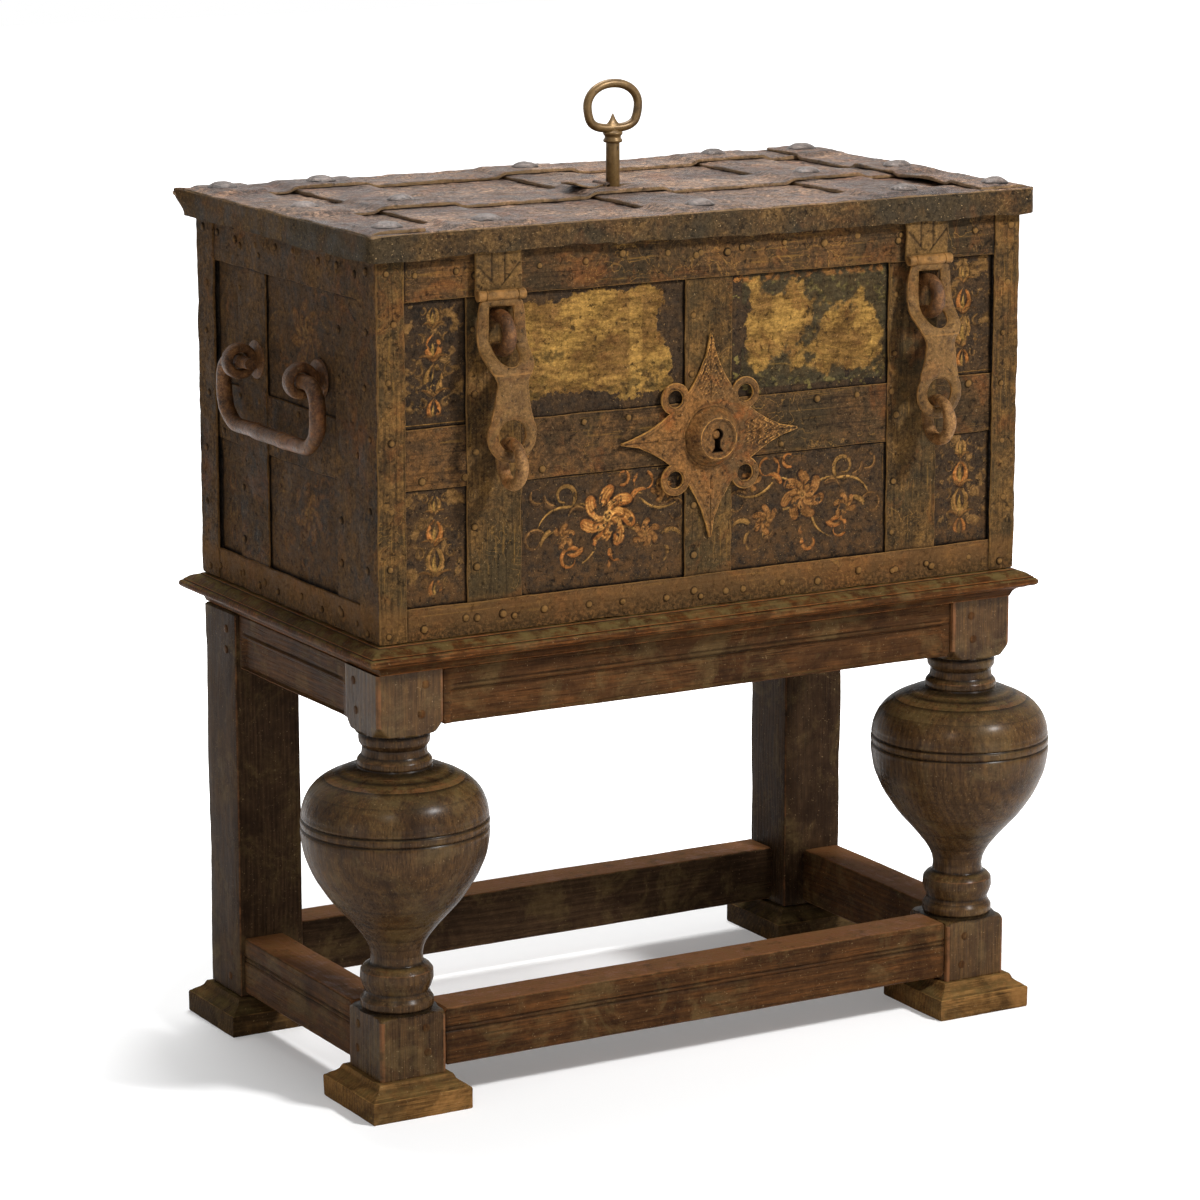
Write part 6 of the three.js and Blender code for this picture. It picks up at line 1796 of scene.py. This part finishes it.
def smooth_profile(z, heights, radii):
    """Radii at z off a turned outline: the mean over 1.5 mm, and over 14 mm on the bulb's two swells."""
    gap = 0.25
    fine = np.arange(heights[0], heights[-1] + gap, gap)
    sharp = np.interp(fine, heights, radii)

    def mean(width):
        count = int(width / gap) // 2 * 2 + 1
        return np.convolve(np.pad(sharp, count // 2, mode="edge"), np.ones(count) / count, mode="valid")

    share = (fine - LOW_BLOCK_TOP) / (HIGH_BLOCK_BOTTOM - LOW_BLOCK_TOP)
    lower = ease((share - 0.2) / 0.05) * ease((0.638 - share) / 0.012)
    upper = ease((share - 0.702) / 0.012) * ease((0.862 - share) / 0.012)
    swell = lower + upper
    both = mean(1.5) * (1 - swell) + mean(14.0) * swell
    return np.interp(z, fine, both)


def turned_leg(x, seed):
    """A front leg: the lesser of a square block's and a turned profile's radius at each angle and height."""
    length = HIGH_BLOCK_BOTTOM - LOW_BLOCK_TOP
    shares = np.array(LEG_SHARES)
    heights = LOW_BLOCK_TOP + shares[:, 1] * length
    low = np.array([[60, POST_BOTTOM], [60, 92], [52.5, 97], [49, 101.5], [46, 103.4]])
    high = np.array([[43.5, 395.8], [44.5, 397.5], [47.5, 402], [51, 408], [52, 414], [60, 417],
                     [60, FRAME_TOP]])
    profile_z = np.concatenate([low[:, 1], heights, high[:, 1]])
    profile_r = np.concatenate([low[:, 0], shares[:, 0] * BULB, high[:, 0]])
    z = np.unique(np.concatenate([
        np.linspace(POST_BOTTOM, 92, 8), np.linspace(92, LOW_BLOCK_TOP, 12), heights,
        np.arange(LOW_BLOCK_TOP, HIGH_BLOCK_BOTTOM, 1.5), np.linspace(HIGH_BLOCK_BOTTOM, 418, 16),
        np.linspace(418, FRAME_TOP, 7),
    ]))
    round_r = smooth_profile(z, profile_z, profile_r)
    count = 128
    angle = np.linspace(0, TURN, count, endpoint=False)
    corner_r = HALF_BLOCK * math.sqrt(2)
    square = HALF_BLOCK / np.maximum(np.abs(np.cos(angle)), np.abs(np.sin(angle)))
    square = np.minimum(square, corner_r - 1.6)
    in_block = (z < LOW_BLOCK_TOP) | (z > HIGH_BLOCK_BOTTOM)
    radius = np.where(in_block[:, None], np.minimum(square, round_r[:, None]), round_r[:, None])
    grid = np.empty((len(z), count, 3))
    grid[..., 0] = radius * np.cos(angle)
    grid[..., 1] = radius * np.sin(angle)
    grid[..., 2] = z[:, None]
    uneven = 1 + ripple(grid + seed * 40, seed, 90, 0.0022) + ripple(grid, seed + 1, 15, 0.0005)
    grid[..., :2] *= uneven[..., None]
    edge = ((square > corner_r - 3.5) & (radius > 50.5)) * in_block[:, None] * 0.9
    far_mean = np.convolve(np.pad(round_r, 3, mode="edge"), np.ones(7) / 7, mode="valid")
    # painted shade in the turned hollows; wear on the swells
    hollow = np.clip((far_mean - round_r) / 0.9, 0, 0.85) * ~in_block
    swollen = np.clip((round_r - far_mean) / 0.9, 0, 0.8) * ~in_block
    edge = np.maximum(edge, swollen[:, None])
    grid[..., :2] += (x, -LEG_Y)
    return outward(Shape(grid, *flat_ended(len(z), count), edge=edge.ravel(), nook=np.repeat(hollow, count)))


def rail(name, axis, place, half, low, high, thickness, seed, sunk):
    """A rail between blocks: a flat board whose outer face has a sunk channel and a bead, or two grooves."""
    sign = -1.0 if place < 0 else 1.0

    def put(s, w, h):
        s, w, h = np.broadcast_arrays(s, w, h)
        out = place + sign * (h - thickness / 2)
        return np.stack([s, out, w] if axis == "x" else [out, s, w], -1)

    def height(w):
        return (w - low) / (high - low)

    def inner(s):
        return ease((half - 9 - np.abs(s)) / 2.0)

    def relief(s, w):
        share = height(w)
        if sunk:
            channel = ease((share - 0.02) / 0.04) * ease((0.6 - share) / 0.03)
            bead = ridge(share, 0.64, 0.018) - ridge(share, 0.685, 0.016)
            shape = -3.4 * channel * inner(s) + 1.1 * bead * inner(s)
        else:
            shape = -1.5 * (ridge(share, 0.66, 0.022) + ridge(share, 0.58, 0.022))
        return shape + ripples(np.stack([s, w], -1), seed, (200, 0.3), (26, 0.08))

    def distance(s, w):
        sag = ripples(np.stack([s * 0.6, w], -1), seed + 2, (200, 0.25), (40, 0.08))
        return box_distance(s, w, (-half, low), (half, high), 1.2) + sag * (np.abs(s) < half - 4)

    # painted shade in the grooves, at the channel's foot and at the ends beside the blocks
    def nook(s, w):
        lines = [(0.6, 0.018), (0.685, 0.016)] if sunk else [(0.66, 0.02), (0.58, 0.02)]
        dark = sum(ridge(height(w), *line) for line in lines) * (inner(s) if sunk else 1.0)
        return np.clip(dark * 0.7 + np.clip(1 - (half - np.abs(s)) / 2.5, 0, 1), 0, 1)

    board = plate(distance, (-half - 2, low - 2), (half + 2, high + 2), (5.0, 1.1), thickness, put,
                  bevel=1.6, relief=relief, wear=4.0, nook=nook)
    finish = "cross_oak" if axis == "y" else "back_rail_oak" if place > 0 else "long_oak"
    mesh_piece(f"{name}_board", board, finish, "stand", "oak", [name], origin=STAND)


def make_rails():
    """Four aprons under the top and four stretchers near the floor."""
    along_x = LEG_X - HALF_BLOCK - 0.3
    along_y = LEG_Y - HALF_BLOCK - 0.3
    sides = (("front", "x", -200.0, along_x), ("back", "x", 200.0, along_x),
             ("left", "y", -380.0, along_y), ("right", "y", 380.0, along_y))
    levels = (("apron", 402.7, FRAME_TOP, 28.0, True), ("stretcher", 42.5, LOW_BLOCK_TOP, 46.0, False))
    for k, (kind, low, high, thickness, sunk) in enumerate(levels):
        for i, (side, axis, place, half) in enumerate(sides):
            rail(f"{kind}_{side}", axis, place, half, low, high, thickness, 1000 + 50 * k + 10 * i, sunk)


def make_legs():
    """Turned front legs, plain back posts and the pegs that hold the rails' tenons."""
    for i, (side, x) in enumerate((("left", -LEG_X), ("right", LEG_X))):
        mesh_piece(f"turned_leg_{side}", turned_leg(x, 1100 + 10 * i), "turned_oak", "stand", "oak",
                   [f"leg_front_{side}"], origin=STAND, crease=34)
        low = (x - HALF_BLOCK, LEG_Y - HALF_BLOCK, POST_BOTTOM)
        high = (x + HALF_BLOCK, LEG_Y + HALF_BLOCK, FRAME_TOP)
        post = block(low, high, 8.0, 2.0, 1120 + 10 * i, 0.5)
        mesh_piece(f"square_post_{side}", post, "back_post_oak", "stand", "oak", [f"post_back_{side}"],
                   origin=STAND)
    draw = np.random.default_rng(55)
    pegs = []
    profile = [(4.6, -1.5), (4.5, 0.2), (3.6, 0.7), (1.5, 0.9)]
    aside = 14
    for x in (-LEG_X, LEG_X):
        for y in (-LEG_Y, LEG_Y):
            for z in (445, 420, 86, 58):
                a, b = draw.uniform(-4, 4, 2)
                way_x, way_y = np.sign((x, y))
                spot = (x - aside * way_x + a, y + way_y * HALF_BLOCK, z + b)
                pegs.append(turned(profile, spot, (0, way_y, 0), 14, (1, 0, 0)))
                spot = (x + way_x * HALF_BLOCK, y - aside * way_y + b, z + a)
                pegs.append(turned(profile, spot, (way_x, 0, 0), 14, (0, 1, 0)))
    mesh_piece("pegs", together(pegs), "upright_oak", "stand", "oak", origin=STAND)


def make_board():
    """The moulded top: from below a hollow, a fillet, a round nose, a fillet and a long ogee to the flat."""
    thick, over = BOARD_TOP - 462.0, 23.4
    shares = ((-1.2, 0), (0, 0), (0.06, 0.02), (0.1, 0.1), (0.16, 0.2), (0.28, 0.29), (0.42, 0.34),
              (0.6, 0.37), (0.62, 0.42), (0.86, 0.44), (0.95, 0.48), (1, 0.54), (1.0, 0.6), (0.97, 0.66),
              (0.9, 0.7), (0.84, 0.71), (0.83, 0.75), (0.78, 0.77), (0.72, 0.8), (0.62, 0.86), (0.48, 0.91),
              (0.34, 0.94), (0.24, 0.955), (0.22, 0.985), (0.1, 1.0), (-1.5, 1.0))
    rings = [(out * over, BOARD_TOP - thick + up * thick) for out, up in shares]
    board = moulded(HALF_WIDTH, HALF_DEPTH, rings, 96, 1200, 0.2)
    mesh_piece("moulded_top", board, "board_oak", "stand", "oak", ["stand_top"], origin=STAND, crease=32)


def make_feet():
    """Four feet: square slabs with a round shoulder and a fillet under the block."""
    rim = (114.0 - BLOCK) / 2
    shares = ((0.96, 0), (1, 0.04), (1, 0.58), (0.97, 0.63), (0.86, 0.66), (0.8, 0.69), (0.66, 0.74),
              (0.48, 0.8), (0.36, 0.86), (0.3, 0.93), (0.26, 0.97), (0.22, 1.0))
    rings = [(out * rim, up * FOOT_TOP) for out, up in shares]
    for end, y in (("front", -LEG_Y), ("back", LEG_Y)):
        for side, x in (("left", -LEG_X), ("right", LEG_X)):
            seed = 1300 + int(abs(x) + x + y)
            foot = moulded(HALF_BLOCK, HALF_BLOCK, rings, 22, seed, 0.35, (x, y))
            finish = "foot_oak" if end == "front" else "back_foot_oak"
            mesh_piece(f"foot_{end}_{side}_oak", foot, finish, "stand", "worn_oak", [f"foot_{end}_{side}"],
                       origin=STAND, crease=32)


def finish_frame_nodes():
    """Finishes on the nodes of the frame that stay: walls, floor, lip, lock and hinge leaves."""
    finishes = {
        "bare_inner_iron": ("front_plate", "back_plate", "left_plate", "right_plate", "floor_plate",
                            "rim_lip"),
        "lock_iron": ("lock_plate", "lock_wheel", "bolt_left", "bolt_right", "bolt_front"),
        "end_strap_iron": ("hinge_leaf_left", "hinge_leaf_right"),
    }
    for finish, names in finishes.items():
        for name in names:
            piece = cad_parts.get(name)
            if piece is None:
                raise RuntimeError(f"the frame has no node {name}")
            piece.data.materials.clear()
            piece.data.materials.append(bpy.data.materials[finish])


# The studio


def aimed(spot, target):
    """The turn that points an object's -Z from spot at target."""
    return (Vector(target) - Vector(spot)).to_track_quat("-Z", "Y").to_euler()


def lamp(name, spot, target, power, size):
    """A rectangular lamp at spot that faces target; its power is in watts, its size in metres."""
    light = bpy.data.lights.new(name, "AREA")
    light.shape = "RECTANGLE"
    light.size, light.size_y = size
    light.energy = power
    made = bpy.data.objects.new(name, light)
    made.location = spot
    made.rotation_euler = aimed(spot, target)
    bpy.context.scene.collection.objects.link(made)


def shows_background(web):
    """1 for rays from the camera, off glossy surfaces and through clear ones, 0 for the rest."""
    seen = web.node("ShaderNodeLightPath").outputs
    straight = web.maths("MAXIMUM", seen["Is Camera Ray"], seen["Is Glossy Ray"])
    return web.maths("MAXIMUM", straight, seen["Is Transmission Ray"])


def make_floor():
    """A plain pale floor of one sheet; it glows towards the camera and in gloss, more so farther out."""
    side = np.linspace(-12, 12, 9)
    x, y = np.meshgrid(side, side, indexing="ij")
    points = np.stack([x, y, np.zeros_like(x)], -1).reshape(-1, 3)
    mesh = bpy.data.meshes.new("floor")
    mesh.from_pydata(points.tolist(), [], grid_faces(9, 9)[:, ::-1].tolist())
    web, shader, place = material("pale_floor")
    shader.inputs["Base Color"].default_value = (0.86, 0.86, 0.86, 1)
    shader.inputs["Roughness"].default_value = 0.9
    shader.inputs["Emission Color"].default_value = (1, 1, 1, 1)
    away = web.vectors("LENGTH", {0: place["Object"]})["Value"]
    level = web.spread(away, 0.5, 0.95, 0.18, 1.3)
    web.feed(shader.inputs["Emission Strength"], web.times(shows_background(web), level))
    floor = bpy.data.objects.new("floor", mesh)
    mesh.materials.append(bpy.data.materials["pale_floor"])
    bpy.context.scene.collection.objects.link(floor)


def make_world(strength):
    """A grey sky that lights softly; it is white to the camera, in gloss and through clear things."""
    world = bpy.data.worlds.new("studio")
    world.use_nodes = True
    tree = world.node_tree
    tree.nodes.clear()
    web = Web(tree)
    level = web.maths("ADD", web.times(shows_background(web), 1.0 - strength), strength)
    back = web.node("ShaderNodeBackground", {"Color": (1, 1, 1, 1), "Strength": level})
    web.node("ShaderNodeOutputWorld", {"Surface": back.outputs[0]})
    bpy.context.scene.world = world


def make_camera(studio):
    """The camera on a sphere round its target: target + distance * (sin a cos e, -cos a cos e, sin e)."""
    lens = bpy.data.cameras.new("camera")
    lens.sensor_fit = "HORIZONTAL"
    lens.sensor_width = 36.0
    lens.lens = studio.lens
    lens.clip_end = 100.0
    camera = bpy.data.objects.new("camera", lens)
    turn, rise = studio.camera_turn, studio.camera_rise
    way = Vector((math.sin(turn) * math.cos(rise), -math.cos(turn) * math.cos(rise), math.sin(rise)))
    target = Vector(studio.camera_target)
    camera.location = target + way * studio.camera_distance
    camera.rotation_euler = aimed(camera.location, target)
    bpy.context.scene.collection.objects.link(camera)
    bpy.context.scene.camera = camera


# Add-on


class StrongboxLook(PropertyGroup):
    strap_colour: FloatVectorProperty(
        name="Strap colour", description="Middle tone of the rusted straps on the front", subtype="COLOR",
        size=3, min=0.0, max=1.0, default=tint(74, 54, 34)[:3],
    )
    oak_colour: FloatVectorProperty(
        name="Oak colour", description="Middle tone of the waxed oak", subtype="COLOR",
        size=3, min=0.0, max=1.0, default=tint(66, 43, 24)[:3],
    )


class StrongboxStudio(PropertyGroup):
    camera_turn: FloatProperty(
        name="Camera turn", description="How far the camera stands round from the front", subtype="ANGLE",
        default=math.radians(-29.87),
    )
    camera_rise: FloatProperty(
        name="Camera rise", description="How high the camera looks down from", subtype="ANGLE",
        default=math.radians(12.35),
    )
    camera_distance: FloatProperty(
        name="Camera distance", description="From the camera to what it looks at", subtype="DISTANCE",
        default=4.733,
    )
    camera_target: FloatVectorProperty(
        name="Camera target", description="What the camera looks at", subtype="XYZ", size=3,
        default=(-0.0109, 0.0152, 0.4612),
    )
    lens: FloatProperty(
        name="Lens", description="Focal length for a 36 mm sensor", unit="CAMERA", default=131.76,
    )
    sky: FloatProperty(
        name="Sky", description="Strength of the even light from all round", min=0.0, max=2.0, default=0.16,
    )


class STRONGBOX_OT_finishes(Operator):
    """Make the shader groups and every material"""

    bl_idname = "strongbox.finishes"
    bl_label = "Finishes"

    def execute(self, context):
        make_materials(context.scene.strongbox_look)
        finish_frame_nodes()
        return {"FINISHED"}


class STRONGBOX_OT_walls(Operator):
    """Make the painted sheets, straps and small rivets of the four walls"""

    bl_idname = "strongbox.walls"
    bl_label = "Walls"

    def execute(self, context):
        make_sheets()
        make_strapwork()
        return {"FINISHED"}


class STRONGBOX_OT_fittings(Operator):
    """Make the star plate, the staples, the eyes and the bails"""

    bl_idname = "strongbox.fittings"
    bl_label = "Fittings"

    def execute(self, context):
        make_escutcheon()
        make_staples()
        make_handles()
        return {"FINISHED"}


class STRONGBOX_OT_lid(Operator):
    """Make the lid's plate, rim, straps, rivets and keyhole flap"""

    bl_idname = "strongbox.lid"
    bl_label = "Lid"

    def execute(self, context):
        make_lid_shell()
        make_lid_straps()
        make_flap()
        return {"FINISHED"}


class STRONGBOX_OT_hasps(Operator):
    """Make the hasps with their hinge plates and rings, and the key"""

    bl_idname = "strongbox.hasps"
    bl_label = "Hasps and key"

    def execute(self, context):
        make_hasps()
        make_key()
        return {"FINISHED"}


class STRONGBOX_OT_stand(Operator):
    """Make the oak stand"""

    bl_idname = "strongbox.stand"
    bl_label = "Stand"

    def execute(self, context):
        make_board()
        make_rails()
        make_legs()
        make_feet()
        return {"FINISHED"}


class STRONGBOX_OT_studio(Operator):
    """Set up the floor, the lamps and the camera"""

    bl_idname = "strongbox.studio"
    bl_label = "Studio"

    def execute(self, context):
        studio = context.scene.strongbox_studio
        context.scene.view_settings.view_transform = "Standard"
        make_floor()
        make_world(studio.sky)
        middle = (0.0, 0.0, 0.6)
        lamp("key_lamp", (1.35, -2.7, 2.9), middle, 164, (0.45, 0.45))
        lamp("top_lamp", (0.2, 0.9, 3.1), middle, 81, (1.6, 1.4))
        lamp("low_lamp", (0.6, -3.6, 0.7), middle, 16, (1.6, 0.8))
        lamp("fill_lamp", (-3.4, -0.9, 0.5), middle, 15, (1.6, 1.4))
        lamp("glint_lamp", (-1.9, -2.4, 2.4), middle, 15, (0.25, 0.4))
        make_camera(studio)
        return {"FINISHED"}


STEPS = (STRONGBOX_OT_finishes, STRONGBOX_OT_walls, STRONGBOX_OT_fittings, STRONGBOX_OT_lid,
         STRONGBOX_OT_hasps, STRONGBOX_OT_stand, STRONGBOX_OT_studio)


class STRONGBOX_PT_panel(Panel):
    bl_label = "Strongbox"
    bl_idname = "STRONGBOX_PT_panel"
    bl_space_type = "VIEW_3D"
    bl_region_type = "UI"
    bl_category = "Strongbox"

    def draw(self, context):
        for step in STEPS:
            self.layout.operator(step.bl_idname)
        for group_of in (context.scene.strongbox_look, context.scene.strongbox_studio):
            for name in group_of.bl_rna.properties.keys():
                if name not in ("rna_type", "name"):
                    self.layout.prop(group_of, name)


CLASSES = (StrongboxLook, StrongboxStudio, *STEPS, STRONGBOX_PT_panel)


def register():
    for cls in CLASSES:
        bpy.utils.register_class(cls)
    bpy.types.Scene.strongbox_look = PointerProperty(type=StrongboxLook)
    bpy.types.Scene.strongbox_studio = PointerProperty(type=StrongboxStudio)


def unregister():
    del bpy.types.Scene.strongbox_studio
    del bpy.types.Scene.strongbox_look
    for cls in reversed(CLASSES):
        bpy.utils.unregister_class(cls)


def main():
    register()
    for step in ("finishes", "walls", "fittings", "lid", "hasps", "stand", "studio"):
        getattr(bpy.ops.strongbox, step)()


if __name__ == "__main__":
    main()
